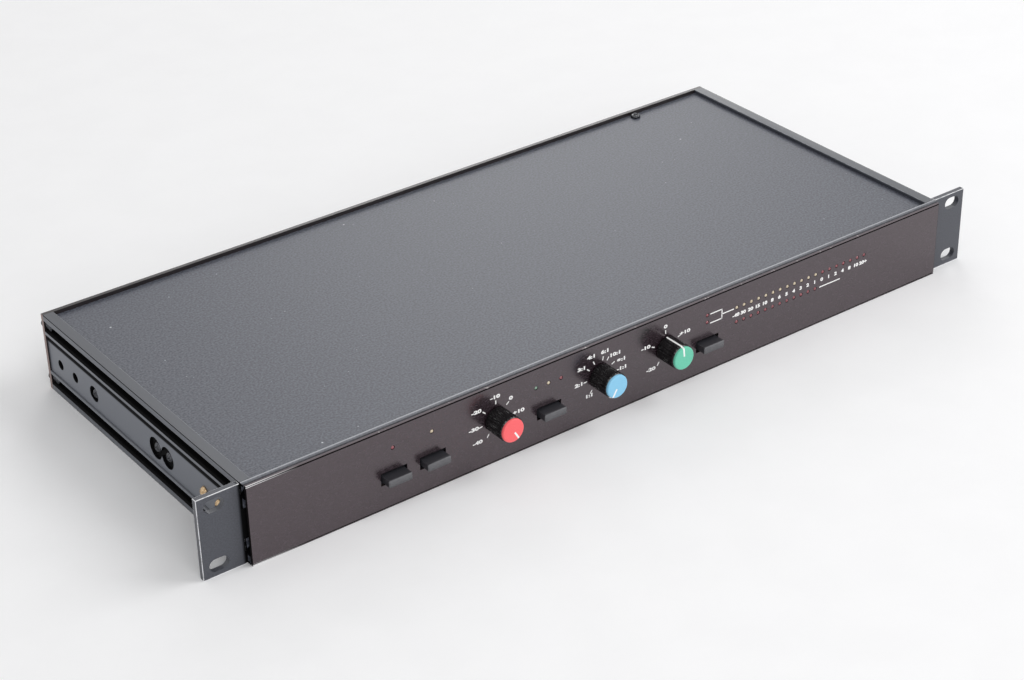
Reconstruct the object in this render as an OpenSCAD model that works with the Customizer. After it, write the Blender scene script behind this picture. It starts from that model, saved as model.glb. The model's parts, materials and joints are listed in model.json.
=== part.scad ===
// One-unit rack compressor: two grooved rails joined by a front and a rear panel, with slide-in
// covers, bolt-on rack ears, three knobs, four push buttons, lamp rows and the parts inside.
// Frame: X to the right, Y to the rear, Z up. The origin is the centre of the four rack slots,
// on the ears' front face.

/* [Rack] */
// Overall width over the two ears
rack_w = 482.6; // [482:0.1:484]
// Height of the ears, panels and rails
unit_h = 43.6; // [43:0.1:44.2]
// Distance from the ears' front face to the rear panel's outer face
depth = 193.8; // [190:0.2:320]
// Distance from an ear's outer edge to the rack slots' centres
slot_in = 8.75; // [8.5:0.05:9]
// Distance between rack slot centres up and down
slot_pitch_z = 31.75; // [31.5:0.05:32]
// Length of a rack slot from end to end
slot_l = 10.4; // [8:0.1:12]
// Width of a rack slot
slot_w = 6.8; // [6.2:0.1:7.2]

/* [Ears] */
// Width of the ear's front face
ear_w = 22.4; // [20:0.1:22.5]
// Thickness of the bent ear
ear_t = 3; // [2.5:0.1:3.5]
// Height of the leg that lies inside the rail
ear_leg_h = 16.4; // [12:0.2:18]
// Reach of the leg behind the ear's front face
ear_leg_l = 43; // [40:1:60]
// Distance from the ear's front face to the first leg screw
ear_screw_y = 22; // [16:0.5:25]
// Distance between the two leg screws
ear_screw_pitch = 13.6; // [10:0.2:16]
// Diameter of the leg screws' round heads
ear_head_d = 5.6; // [5:0.1:7]

/* [Rails] */
// Width of the rail's top and bottom flange
flange_w = 6; // [5:0.1:6.6]
// Thickness of the flange over the cover's edge
flange_t = 2; // [1.6:0.1:2.4]
// Depth of the rail's top and bottom block
block_d = 6.8; // [6.4:0.1:9]
// Height of the screw groove
groove_h = 4.2; // [4:0.1:5]
// Depth of the screw groove
groove_d = 5; // [4.5:0.1:5.2]
// Width of the sloping lips at the groove's mouth
groove_flare = 0.9; // [0.4:0.1:1.2]
// Distance from the rail's top face to the middle of the groove
groove_drop = 6.3; // [6:0.1:7]
// Height of the ridge beside the groove
ridge_h = 2; // [1.4:0.1:3]
// Set-back of the web behind the ridges
web_recess = 0.8; // [0.8:0.1:1.6]
// Thickness of the web
web_t = 2.8; // [2.4:0.1:3.4]
// Distance from the rail's middle down to the screws and holes in the web
web_hole_drop = 1.9; // [0:0.1:2]
// Diameter of the two plain holes in the left web
plain_hole_d = 4.5; // [3:0.1:6]
// Diameter of the joined recesses round the regulator screws
device_recess_d = 11.6; // [11.4:0.1:13]
// Diameter of the recess round the earth screw
earth_recess_d = 8; // [7:0.1:10]
// Depth of the recesses
recess_d = 1.4; // [1:0.1:1.8]
// Distance from the ear's front face to the first regulator screw
regulator_y = 70.6; // [60:0.2:75]
// Distance between the regulator screws
regulator_pitch = 11.2; // [10.6:0.1:11.3]
// Distance from the rear panel's outer face to the earth screw
earth_in = 50.4; // [50:0.2:90]
// Distance from the rear panel's outer face to the first plain hole
plain_hole_in = 30.4; // [27:0.2:40]
// Distance between the plain holes
plain_hole_pitch = 15.6; // [8:0.2:18]

/* [Covers] */
// Thickness of the top and bottom covers
cover_t = 1.2; // [1:0.1:1.4]
// Distance from the right rail's outer face to the cover screw
cover_screw_side = 54.65; // [40:0.05:100]
// Distance from the rear panel's inner face to the cover screw
cover_screw_in = 3.6; // [3.5:0.1:8]

/* [Front panel] */
// Distance from a rail's outer face to the panel's end
panel_end_in = 0.6; // [0.6:0.05:2.5]
// Thickness of the front panel
panel_t = 1.5; // [1.2:0.1:2]
// Distance that the panel's face stands in front of the ears
panel_proud = 4; // [3.6:0.1:6]
// Distance from the panel's edges to the fine lines along them
edge_line_in = 0.5; // [0.4:0.1:2]
// Width and depth of the fine lines
edge_line_w = 0.4; // [0.2:0.1:0.6]
// Thickness of the plate behind the panel
subpanel_t = 1.2; // [1:0.1:2]
// Space between the panel and the plate behind it
panel_space = 2.1; // [2:0.1:2.6]
// Thickness of the lips along the plate's top and bottom
lip_t = 1.5; // [1:0.1:2]
// Distance from a rail's outer face to the panel studs
panel_stud_in = 24; // [16:0.5:40]
// Height of the panel studs above and below the middle
panel_stud_z = 12; // [8:0.5:15]

/* [Dials] */
// Height of the dial centres above the middle
dial_z = 2.7; // [0:0.1:5]
// Sideways place of the threshold dial
threshold_x = -80.5; // [-86:0.1:-76]
// Sideways place of the ratio dial
ratio_x = -17; // [-22:0.1:-12]
// Sideways place of the gain dial
gain_x = 25.7; // [22:0.1:30]
// Pointer of the threshold knob, in degrees clockwise from the top
threshold_set = 149; // [-150:1:150]
// Pointer of the ratio knob, in degrees clockwise from the top
ratio_set = -149; // [-150:1:150]
// Pointer of the gain knob, in degrees clockwise from the top
gain_set = -6; // [-150:1:150]
// Diameter of a knob
knob_d = 13.4; // [12.6:0.1:15]
// Distance from the panel's face to the front of a knob's cap
knob_l = 14; // [12:0.1:18]
// Gap between the panel and a knob
knob_gap = 0.8; // [0.5:0.1:1.5]
// Number of grip flutes round a knob
flutes = 24; // [16:2:32]
// Diameter of the coloured cap
cap_d = 12.4; // [11:0.1:12.4]
// Thickness of the coloured cap
cap_t = 1.4; // [1:0.1:2]
// Diameter of a control's shaft
shaft_d = 6; // [5:0.1:6.4]
// Diameter of a control's threaded bush
bush_d = 7.6; // [7.4:0.1:9]
// Diameter of a control's round case
pot_d = 16.5; // [14:0.1:18]
// Depth of a control's round case
pot_l = 9; // [8:0.1:12]

/* [Buttons] */
// Sideways place of the bypass button
bypass_x = -139.8; // [-145:0.1:-136]
// Sideways place of the link button
link_x = -117.7; // [-121:0.1:-112]
// Sideways place of the knee button and of the lamps over it
knee_x = -48.7; // [-52:0.1:-46]
// Sideways place of the meter button
meter_x = 53; // [50:0.1:56]
// Height of the buttons, from the middle
button_z = -4.8; // [-6:0.1:-3.5]
// Width of a button's face
button_w = 13; // [10:0.1:13.4]
// Height of a button's face
button_h = 3.9; // [3.5:0.1:5]
// Distance that a button stands out of the panel
button_out = 5.5; // [4:0.1:7]
// Travel of a button
button_travel = 3; // [2:0.1:3.2]
// Width of the panel's cut-out round a button
button_hole_w = 15; // [14:0.1:16]
// Height of the panel's cut-out round a button
button_hole_h = 6.8; // [6.4:0.1:8]

/* [Lamps] */
// Diameter of a lamp's lens
led_d = 2; // [1.8:0.1:3]
// Distance that a lens stands out of the panel
led_proud = 0.3; // [0.2:0.1:1]
// Height of the single lamps over the buttons
status_z = 10.5; // [9:0.1:12]
// Distance between the three threshold lamps
threshold_led_pitch = 7.6; // [5:0.1:8]
// Sideways place of the two source lamps
source_x = 52.7; // [48:0.1:60]
// Height of the upper source lamp
source_z = 11.5; // [11:0.1:12.5]
// Distance between the two source lamps
source_pitch = 4.1; // [3.9:0.1:4.5]
// Sideways place of the first lamp in the meter rows
meter_led_x = 72.7; // [70:0.1:80]
// Distance between lamps in the meter rows
meter_pitch = 5; // [4.6:0.01:5.08]
// Height of the level row
level_z = 8.9; // [8:0.1:10]
// Height of the gain reduction row
reduction_z = 0.5; // [-1:0.1:2]

/* [Boards] */
// Thickness of the circuit boards
board_t = 1.6; // [1.2:0.1:2]
// Height of the posts under the main board
post_h = 6; // [5:0.1:7]
// Distance from the ears' front face to the main board's front edge
main_board_y = 22; // [20:0.5:23]
// Gap between the round sockets and the main board's rear edge
board_back_gap = 1.4; // [1:0.1:2]
// Depth of a push switch's case
switch_l = 7.2; // [6.5:0.1:7.4]

/* [Power supply] */
// Distance from the left rail's outer face to the transformer's middle
transformer_side = 39.85; // [38:0.05:48]
// Distance from the rear panel's outer face to the transformer's middle
transformer_back = 65.4; // [58:0.2:73]
// Width of the transformer's core
core_w = 42; // [38:0.5:44]
// Gap between the transformer's strap and the top cover
core_gap = 1.1; // [0.8:0.1:6]
// Thickness of the transformer's stack of plates
core_stack = 17; // [14:0.5:20]
// Diameter of a filter capacitor
capacitor_d = 16; // [12:0.5:18]
// Height of a filter capacitor
capacitor_h = 25; // [20:0.5:27]

/* [Rear panel] */
// Thickness of the rear panel
rear_t = 2.5; // [2:0.1:3]
// Distance from the left rail's outer face to the mains inlet's middle
inlet_side = 47.85; // [42:0.05:55]
// Distance from the mains inlet's middle to the fuse holder
fuse_pitch = 44; // [40:0.5:50]
// Sideways place of the output socket
output_x = -75; // [-85:0.5:-65]
// Sideways place of the first phone jack
jack_x = -40; // [-44:0.5:-36]
// Distance between phone jacks
jack_pitch = 24; // [20:0.5:26]
// Sideways place of the input socket
input_x = 75; // [68:0.5:90]
// Bore of a phone jack
jack_bore = 6.5; // [6.4:0.05:6.8]
// Diameter of a phone jack's threaded nose
jack_nose_d = 9.4; // [9:0.1:10.5]
// Distance that a phone jack's nose stands out of the panel
jack_nose_out = 4.5; // [3.5:0.1:7]
// Diameter of the round sockets' barrels
barrel_d = 23.6; // [22:0.1:24]
// Depth of the round sockets' barrels behind the panel's outer face
barrel_l = 20; // [18:0.1:21]

/* [Hidden] */
$fn = 48;

// Clearances
running_gap = 0.05;
slide_gap = 0.15;
fit_gap = 0.2;
loose_gap = 0.3;
cut = 1;

// Main planes and half sizes
ear_rail_gap = 0.25;
body_w = rack_w - 2 * (ear_w + ear_rail_gap);
half_w = body_w / 2;
half_h = unit_h / 2;
slot_x = rack_w / 2 - slot_in;
panel_face_y = -panel_proud;
panel_back_y = panel_face_y + panel_t;
subpanel_y = panel_back_y + panel_space;
rail_y0 = subpanel_y + subpanel_t;
rear_inner_y = depth - rear_t;

// Rail section
cover_play = 0.1;
cover_grip = 3.4;
groove_floor_gap = 0.2;
cover_slot_u = block_d - cover_grip;
cover_slot_h = cover_t + cover_play;
groove_u = groove_d - groove_h / 2 - groove_floor_gap;
groove_z = half_h - groove_drop;
mouth_low = groove_drop + groove_h / 2 + groove_flare;
block_h = mouth_low + ridge_h / 2;
web_outer_u = web_recess;
web_inner_u = web_recess + web_t;
block_inner_x = half_w - block_d;
earth_y = depth - earth_in;
plain_hole_y = depth - plain_hole_in;

// Covers
cover_top_z = half_h - flange_t - cover_play / 2;
cover_under_z = cover_top_z - cover_t;
floor_z = -cover_under_z;
cover_half_w = half_w - cover_slot_u - slide_gap;
cover_y0 = rail_y0 + slide_gap;
cover_l = rear_inner_y - slide_gap - cover_y0;
cover_screw_x = half_w - cover_screw_side;
bracket_w = 12;
bracket_t = 1.5;
bracket_tail = 5;

// Screws: shank, head and nut of the 3 mm and 4 mm sizes
m3_d = 3;
m3_hole = 3.4;
m3_head_d = 5.6;
m3_head_h = 1.6;
m3_nut_af = 5.5;
m3_nut_h = 2.4;
m4_d = groove_h - 2 * running_gap;
m4_hole = m4_d + loose_gap;
ear_head_h = 2.4;
thread_end = 0.6;
thread_bite = 3;
m4_front_head_d = 5.6;
m4_front_head_h = 1.7;
m4_rear_head_d = 7;
m4_rear_head_h = 2.2;
end_screw_l = 11;

// Front panel, the plate behind it and the studs
panel_w = body_w - 2 * panel_end_in;
panel_stud_x = half_w - panel_stud_in;
subpanel_end_in = 0.45;
subpanel_half_w = half_w - subpanel_end_in;
neck_inner_x = half_w - web_inner_u - ear_t;
ear_inner_x = half_w + ear_rail_gap;
button_gap_w = 1;
button_gap_h = 0.8;
stud_boss_d = 5;
stud_l = 3;

// Dials
bush_set_back = 0.4;
bush_front_y = panel_face_y + bush_set_back;
bush_hole = bush_d + fit_gap;
pot_nut_af = 11;
pot_nut_h = 1.8;
pot_bore_l = 3;
pot_back_y = rail_y0 + pot_l;
knob_wall = 1.3;
knob_hub_d = 8.4;
knob_hollow = 5;
knob_edge = 0.6;
knob_roof = 1.5;
shaft_flat_depth = 1.4;
shaft_flat = shaft_d / 2 - shaft_flat_depth;
shaft_in_knob = knob_l - cap_t - knob_roof;
flute_d = 1.7;
flute_depth = 0.32;
pointer_w = 0.9;
pointer_depth = 0.25;
pointer_start = 1.2;
cap_edge_r = 0.7;

// Control board behind the dials
control_y = pot_back_y;
control_side = 9;
control_below = 7;
control_above = 4;
control_z0 = button_z - control_below;
control_z1 = source_z + control_above;

// Buttons and switches
switch_w = 12;
switch_h = 9;
stem_w = 3.2;
button_root = 2;
button_tail = 1.3;
button_back_y = subpanel_y - button_tail;
button_flare = 0.2;
button_flare_l = 1.6;
button_corner_r = 0.4;
switch_floor = 0.8;
stem_end_gap = 0.4;
stem_end_y = control_y - switch_floor - button_travel - stem_end_gap;

// Lamps
led_rim_w = 0.35;
led_rim_d = led_d + 2 * led_rim_w;
led_rim_h = 0.8;
led_l = 5;
led_lead_w = 0.5;
led_lead_pitch = 1.6;
led_hole = led_d + fit_gap;
led_rim_hole = led_rim_d + 2 * fit_gap;
amber_count = 12;
level_count = 19;
meter_led_x1 = meter_led_x + (level_count - 1) * meter_pitch;
control_x0 = bypass_x - control_side;
control_x1 = meter_led_x1 + control_side;
amber_places = concat(
    [[link_x, status_z], [knee_x, status_z]],
    [for (i = [0 : amber_count - 1]) [meter_led_x + i * meter_pitch, level_z]]);
red_places = concat(
    [[bypass_x, status_z], [knee_x + threshold_led_pitch, status_z]],
    [[source_x, source_z], [source_x, source_z - source_pitch]],
    [for (i = [amber_count : level_count - 1]) [meter_led_x + i * meter_pitch, level_z]],
    [for (i = [0 : amber_count - 1]) [meter_led_x + i * meter_pitch, reduction_z]]);
green_places = [[knee_x - threshold_led_pitch, status_z]];

// Main board
board_under_z = floor_z + post_h;
board_top_z = board_under_z + board_t;
board_side_gap = 1.8;
board_half_w = block_inner_x - board_side_gap;
main_board_y1 = depth - barrel_l - board_back_gap;
main_board_l = main_board_y1 - main_board_y;
foot_l = 8;
frame_t = 1;
core_h = cover_under_z - floor_z - frame_t - core_gap;
transformer_x = -half_w + transformer_side;
transformer_y = depth - transformer_back;
window_gap = 2;
coil_bulge = 6.5;
window_x = transformer_x + core_w / 2 + frame_t + foot_l + window_gap;
window_y = transformer_y - core_stack / 2 - coil_bulge - window_gap;
frame_foot_x = core_w / 2 + frame_t + foot_l / 2;
frame_places = [for (s = [-1, 1]) [transformer_x + s * frame_foot_x, transformer_y]];
post_af = 5.5;
post_in = 7;
post_x1 = board_half_w - post_in;
post_y0 = main_board_y + post_in;
post_y1 = main_board_y1 - post_in;
post_step = 12;
post_places = [
    [-post_x1, post_y0 + post_step], [0, post_y0 + post_step], [post_x1, post_y0],
    [window_x + post_in, post_y1], [0, post_y1 - 2 * post_step], [post_x1, post_y1]
];
board_screw_l = 4;
post_screw_l = 2;

// Ribbon cable between the two boards
ribbon_x = 0;
ribbon_w = 30;
ribbon_t = 0.9;
header_w = 34;
header_h = 6;
header_l = 6;
ribbon_run = 3;
ribbon_drop = 1;
ribbon_r = 6;
ribbon_z = board_top_z + header_l + ribbon_drop + ribbon_r;
ribbon_y = control_y + board_t + header_l + ribbon_run + ribbon_r;

// Transformer: the proportions of the common two-window plate
leg_w = core_w / 3;
window_w = core_w / 6;
window_h = core_w / 2;
coil_gap = 0.2;
coil_corner_r = 3;

// Regulators, chips and the gain module
tab_t = 1.3;
device_w = 10;
device_t = 4.4;
device_tab_up = 3.4;
device_body_top = web_hole_drop + m3_nut_af / 2 / cos(30) + fit_gap;
lead_l = 8.4;
lead_w = 0.8;
lead_t = 0.55;
lead_pitch = 2.5;
chip_l = 19.4;
chip_w = 6.4;
chip_h = 3.4;
chip_lift = 0.5;
chip_pins = 7;
chip_pin_pitch = 2.54;
chip_pin_w = 0.5;
chip_x = 24;
chip_in = 38;
chip_pitch_x = 34;
chip_pitch_y = 40;
chip_places = [for (i = [0 : 3]) for (j = [0, 1])
    [chip_x + i * chip_pitch_x, main_board_y + chip_in + j * chip_pitch_y]];
module_w = 30;
module_d = 22;
module_h = 10;
module_r = 1.5;
module_rim = 2;
module_dip = 0.6;
module_x = -60;
module_in = 60;
capacitor_side = 22;
capacitor_back = 52;
capacitor_gap = 6;
capacitor_x = window_x + capacitor_side;
capacitor_y = main_board_y1 - capacitor_back;
capacitor_pitch = capacitor_d + capacitor_gap;
capacitor_ring_z = 2.5;
capacitor_ring_r = 0.6;
capacitor_ring_out = 0.2;

// Rear sockets
inlet_x = -half_w + inlet_side;
fuse_x = inlet_x + fuse_pitch;
socket_flange_w = 26;
socket_flange_h = 31;
socket_flange_t = 3;
socket_screw_x = 9.5;
socket_screw_z = 12;
socket_corner_r = 2;
socket_screws = [[-socket_screw_x, socket_screw_z], [socket_screw_x, -socket_screw_z]];
socket_screw_places = [for (x = [output_x, input_x]) for (p = socket_screws) [x + p[0], p[1]]];
barrel_hole = barrel_d + 2 * fit_gap;
input_cavity_d = 18.8;
input_cavity_l = 16;
input_core_d = 14.8;
input_core_l = 14;
contact_hole_d = 2.6;
contact_floor = 2;
pin_circle_r = 3.6;
pin_angles = [30, 150, 270];
output_cavity_d = 16;
output_cavity_l = 15;
output_pin_d = 2.4;
output_pin_l = 11.5;
pin_tail = 5;
latch_w = 7;
latch_h = 4;
latch_z = 12.6;
latch_l = 3.2;
latch_r = 0.8;
latch_pocket = 2.4;
latch_travel = 1;
jack_count = 4;
jack_w = 15;
jack_h = 13;
jack_l = 24;
jack_bore_l = 26;
jack_leg_w = 1;
jack_leg_in = 3;
jack_nut_af = 13;
jack_nut_h = 2.2;
inlet_flange_w = 50;
inlet_flange_h = 22.6;
inlet_flange_t = 2.4;
inlet_body_w = 27;
inlet_body_h = 19.6;
inlet_body_l = 24;
inlet_cavity_w = 24;
inlet_cavity_h = 16;
inlet_cavity_l = 17;
inlet_corner = 4.5;
inlet_flange_r = 3;
inlet_cavity_r = 1;
inlet_screw_x = 20;
inlet_screw_places = [for (s = [-1, 1]) [inlet_x + s * inlet_screw_x, 0]];
rear_screw_places = concat(socket_screw_places, inlet_screw_places);
inlet_pin_w = 2;
inlet_pin_h = 4;
inlet_pin_x = 7;
inlet_pin_z = 2;
inlet_pin_l = 14;
inlet_places = [[-inlet_pin_x, -inlet_pin_z], [inlet_pin_x, -inlet_pin_z], [0, inlet_pin_z]];
fuse_body_d = 12.4;
fuse_body_l = 30;
fuse_collar_d = 16;
fuse_collar_t = 2.5;
fuse_nut_af = 17;
fuse_nut_h = 3;
fuse_bore = 8;
fuse_plug_l = 16;
fuse_cap_d = 11.6;
fuse_cap_out = 4.5;
fuse_slot_w = 1.4;
fuse_slot_d = 1.2;

// A rectangle with round corners, centred
module round_rect(w, h, r) {
    square([w - 2 * r, h], center = true);
    square([w, h - 2 * r], center = true);
    for (x = [-1, 1], y = [-1, 1])
        translate([x * (w / 2 - r), y * (h / 2 - r)]) circle(r);
}

// A block centred across X and Z that runs from y0 to y1
module block_y(w, h, y0, y1) {
    translate([-w / 2, y0, -h / 2]) cube([w, y1 - y0, h]);
}

// A round bar along Y from y0 to y1
module bar_y(d, y0, y1) {
    translate([0, y0, 0]) rotate([-90, 0, 0]) cylinder(d = d, h = y1 - y0);
}

// A shape that is drawn in X and Z and drawn out along Y from y0 to y1
module plate_y(y0, y1) {
    translate([0, y1, 0]) rotate([90, 0, 0]) linear_extrude(y1 - y0) children();
}

// Places a part with its own Z axis pointing out of the front panel
module on_dial(x, z, angle) {
    translate([x, panel_face_y, z]) rotate([90, 0, 0]) rotate([0, 0, -angle]) children();
}

// The same piece on both sides
module both_sides() {
    children();
    mirror([1, 0, 0]) children();
}

// A hexagon nut that lies on the plane Z = 0, flats facing up and down
module nut(af, h, hole) {
    difference() {
        cylinder(d = af / cos(30), h = h, $fn = 6);
        translate([0, 0, -cut]) cylinder(d = hole, h = h + 2 * cut);
    }
}

// A screw with a rounded head above Z = 0 and its shank below
module round_screw(d, l, head_d, head_h) {
    dome_r = (head_d * head_d / 4 + head_h * head_h) / (2 * head_h);
    translate([0, 0, -l]) cylinder(d = d, h = l);
    intersection() {
        translate([0, 0, head_h - dome_r]) sphere(dome_r);
        cylinder(d = head_d, h = head_h);
    }
}

// A screw with a flat-sided pan head above Z = 0 and its shank below
module pan_screw(d, l, head_d, head_h) {
    r = head_d / 2;
    edge = head_h / 3;
    translate([0, 0, -l]) cylinder(d = d, h = l);
    rotate_extrude() polygon([[0, 0], [r, 0], [r, head_h - edge], [r - edge, head_h], [0, head_h]]);
}

// Half of the rail's section: u runs in from the outer face, z up from the middle
module rail_half() {
    difference() {
        union() {
            translate([web_outer_u, 0]) square([web_t, half_h]);
            translate([0, half_h - mouth_low - ridge_h]) square([web_inner_u, ridge_h]);
            translate([0, half_h - block_h]) square([block_d, block_h - flange_t]);
            translate([0, half_h - flange_t]) square([flange_w, flange_t]);
        }
        translate([cover_slot_u, half_h - flange_t - cover_slot_h]) square([block_d, cover_slot_h]);
        translate([0, groove_z - groove_h / 2]) square([groove_d, groove_h]);
        translate([0, groove_z]) polygon([
            [-groove_flare, groove_h / 2 + 2 * groove_flare], [groove_flare, groove_h / 2],
            [groove_flare, -groove_h / 2], [-groove_flare, -groove_h / 2 - 2 * groove_flare]]);
    }
}

// A left rail without web holes, its web cut back at the front for the ear's neck
module rail_bar() {
    difference() {
        translate([-half_w, 0, 0]) plate_y(rail_y0, rear_inner_y) {
            rail_half();
            mirror([0, 1]) rail_half();
        }
        translate([-half_w - cut, rail_y0 - cut, -ear_leg_h / 2 - slide_gap])
            cube([block_d + cut, ear_t + slide_gap - rail_y0 + cut, ear_leg_h + 2 * slide_gap]);
    }
}

// A bar along X through the left web at a place along the rail
module web_drill(y, d, u0, u1) {
    translate([-half_w + u0, y, -web_hole_drop]) rotate([0, 90, 0]) cylinder(d = d, h = u1 - u0);
}

module ear_screw_drills(d) {
    for (i = [0, 1]) web_drill(ear_screw_y + i * ear_screw_pitch, d, -cut, web_inner_u + ear_t + cut);
}

module left_rail() {
    color("#2b2d31") difference() {
        rail_bar();
        ear_screw_drills(m3_hole);
        for (i = [0, 1]) {
            web_drill(regulator_y + i * regulator_pitch, m3_hole, 0, block_d);
            web_drill(regulator_y + i * regulator_pitch, device_recess_d, 0, web_outer_u + recess_d);
            web_drill(plain_hole_y + i * plain_hole_pitch, plain_hole_d, 0, block_d);
        }
        web_drill(earth_y, m3_hole, 0, block_d);
        web_drill(earth_y, earth_recess_d, 0, web_outer_u + recess_d);
    }
}

module right_rail() {
    color("#2b2d31") mirror([1, 0, 0]) difference() {
        rail_bar();
        ear_screw_drills(m3_hole);
    }
}

module cover_sheet() {
    translate([-cover_half_w, cover_y0, cover_under_z]) cube([2 * cover_half_w, cover_l, cover_t]);
}

module cover_screw_drill(d) {
    translate([cover_screw_x, rear_inner_y - cover_screw_in, 0]) cylinder(d = d, h = half_h);
}

module top_cover() {
    color("#2f3136") difference() {
        cover_sheet();
        cover_screw_drill(m3_hole);
    }
}

module floor_drills() {
    for (p = concat(post_places, frame_places))
        translate([p[0], p[1], -half_h]) cylinder(d = m3_hole, h = half_h);
}

module bottom_cover() {
    color("#2f3136") difference() {
        mirror([0, 0, 1]) cover_sheet();
        floor_drills();
    }
}

module cover_screw() {
    color("#1c1c1e") translate([cover_screw_x, rear_inner_y - cover_screw_in, cover_top_z])
        pan_screw(m3_d, cover_t + bracket_t + thread_end, m3_head_d, m3_head_h);
}

// Angle under the cover's rear edge, which takes the cover screw
module cover_bracket() {
    leg = cover_screw_in + bracket_tail;
    color("silver") difference() {
        translate([cover_screw_x, rear_inner_y, cover_under_z]) {
            translate([-bracket_w / 2, -leg, -bracket_t]) cube([bracket_w, leg, bracket_t]);
            translate([-bracket_w / 2, -bracket_t, -leg]) cube([bracket_w, bracket_t, leg]);
        }
        cover_screw_drill(m3_d + 2 * running_gap);
    }
}

module panel_stud_places() {
    for (x = [-1, 1], z = [-1, 1]) translate([x * panel_stud_x, 0, z * panel_stud_z]) children();
}

module led_drills(d, y0, y1) {
    for (p = concat(amber_places, red_places, green_places)) translate([p[0], 0, p[1]]) bar_y(d, y0, y1);
}

module dial_drills(d, y0, y1) {
    for (x = [threshold_x, ratio_x, gain_x]) translate([x, 0, dial_z]) bar_y(d, y0, y1);
}

module button_drills(w, h, y0, y1) {
    for (x = [bypass_x, link_x, knee_x, meter_x]) translate([x, 0, button_z]) block_y(w, h, y0, y1);
}

module front_panel() {
    color("#3a322f") difference() {
        union() {
            block_y(panel_w, unit_h, panel_face_y, panel_back_y);
            panel_stud_places() {
                bar_y(stud_boss_d, panel_back_y, subpanel_y);
                bar_y(m3_d, subpanel_y, rail_y0 + stud_l);
            }
        }
        for (s = [-1, 1]) translate([0, 0, s * (half_h - edge_line_in - edge_line_w / 2)])
            block_y(panel_w + 2 * cut, edge_line_w, panel_face_y - cut, panel_face_y + edge_line_w);
        led_drills(led_hole, panel_face_y - cut, panel_back_y + cut);
        dial_drills(bush_hole, panel_face_y - cut, panel_back_y + cut);
        button_drills(button_hole_w, button_hole_h, panel_face_y - cut, panel_back_y + cut);
    }
}

module rail_end_places() {
    for (x = [-1, 1], z = [-1, 1]) translate([x * (half_w - groove_u), 0, z * groove_z]) children();
}

// Plate between the rails and the front panel, with lips that run to the panel, notched for the ears
module front_subpanel() {
    color("#2f3136") difference() {
        union() {
            block_y(2 * subpanel_half_w, unit_h, subpanel_y, rail_y0);
            for (s = [-1, 1]) translate([0, 0, s * (half_h - lip_t / 2)])
                block_y(2 * subpanel_half_w, lip_t, panel_back_y + loose_gap, subpanel_y);
        }
        both_sides() translate([neck_inner_x - slide_gap, subpanel_y - cut, -ear_leg_h / 2 - slide_gap])
            cube([half_w, subpanel_t + 2 * cut, ear_leg_h + 2 * slide_gap]);
        led_drills(led_rim_hole, subpanel_y - cut, rail_y0 + cut);
        dial_drills(bush_hole, subpanel_y - cut, rail_y0 + cut);
        button_drills(button_w + 2 * button_gap_w, button_h + 2 * button_gap_h,
            subpanel_y - cut, rail_y0 + cut);
        panel_stud_places() bar_y(m3_hole, subpanel_y - cut, rail_y0 + cut);
        rail_end_places() bar_y(m4_hole, subpanel_y - cut, rail_y0 + cut);
    }
}

// Nuts on the panel's studs and on the dials' bushes
module front_nuts() {
    color("silver") {
        panel_stud_places() translate([0, rail_y0, 0]) rotate([-90, 0, 0])
            nut(m3_nut_af, m3_nut_h, m3_d + 2 * running_gap);
        for (x = [threshold_x, ratio_x, gain_x]) translate([x, subpanel_y, dial_z]) rotate([90, 0, 0])
            nut(pot_nut_af, pot_nut_h, bush_d + 2 * running_gap);
    }
}

module rear_panel() {
    color("#3a322f") difference() {
        block_y(body_w, unit_h, rear_inner_y, depth);
        rail_end_places() bar_y(m4_hole, rear_inner_y - cut, depth + cut);
        translate([inlet_x, 0, 0])
            block_y(inlet_body_w + fit_gap, inlet_body_h + fit_gap, rear_inner_y - cut, depth + cut);
        for (x = [output_x, input_x]) translate([x, 0, 0])
            bar_y(barrel_hole, rear_inner_y - cut, depth + cut);
        for (i = [0 : jack_count - 1]) translate([jack_x + i * jack_pitch, 0, 0])
            bar_y(jack_nose_d + fit_gap, rear_inner_y - cut, depth + cut);
        translate([fuse_x, 0, 0]) bar_y(fuse_body_d + fit_gap, rear_inner_y - cut, depth + cut);
        for (p = rear_screw_places) translate([p[0], 0, p[1]])
            bar_y(m3_d + 2 * running_gap, rear_inner_y - cut, depth + cut);
    }
}

// Left ear: the slotted plate, the neck in front of the rail and the leg along the web's inner face
module ear() {
    leg_x = -half_w + web_inner_u;
    difference() {
        union() {
            translate([-rack_w / 2, 0, -half_h]) cube([ear_w, ear_t, unit_h]);
            translate([0, 0, -ear_leg_h / 2]) linear_extrude(ear_leg_h) {
                translate([-ear_inner_x - cut, 0]) square([leg_x + ear_inner_x + cut, ear_t]);
                intersection() {
                    translate([leg_x, ear_t]) circle(ear_t);
                    translate([leg_x, 0]) square(ear_t);
                }
                translate([leg_x, ear_t]) square([ear_t, ear_leg_l - ear_t]);
            }
        }
        for (z = [-1, 1]) translate([-slot_x, 0, z * slot_pitch_z / 2]) plate_y(-cut, ear_t + cut) {
            square([slot_l - slot_w, slot_w], center = true);
            for (x = [-1, 1]) translate([x * (slot_l - slot_w) / 2, 0]) circle(d = slot_w);
        }
        ear_screw_drills(m3_d + 2 * running_gap);
    }
}

module left_ear() {
    color("#3b4048") ear();
}

module right_ear() {
    color("#3b4048") mirror([1, 0, 0]) ear();
}

module ear_screws() {
    color("#c9a45a") both_sides() for (i = [0, 1])
        translate([-half_w + web_outer_u, ear_screw_y + i * ear_screw_pitch, -web_hole_drop])
            rotate([0, -90, 0])
                round_screw(m3_d, web_t + ear_t + thread_end, ear_head_d, ear_head_h);
}

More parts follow.
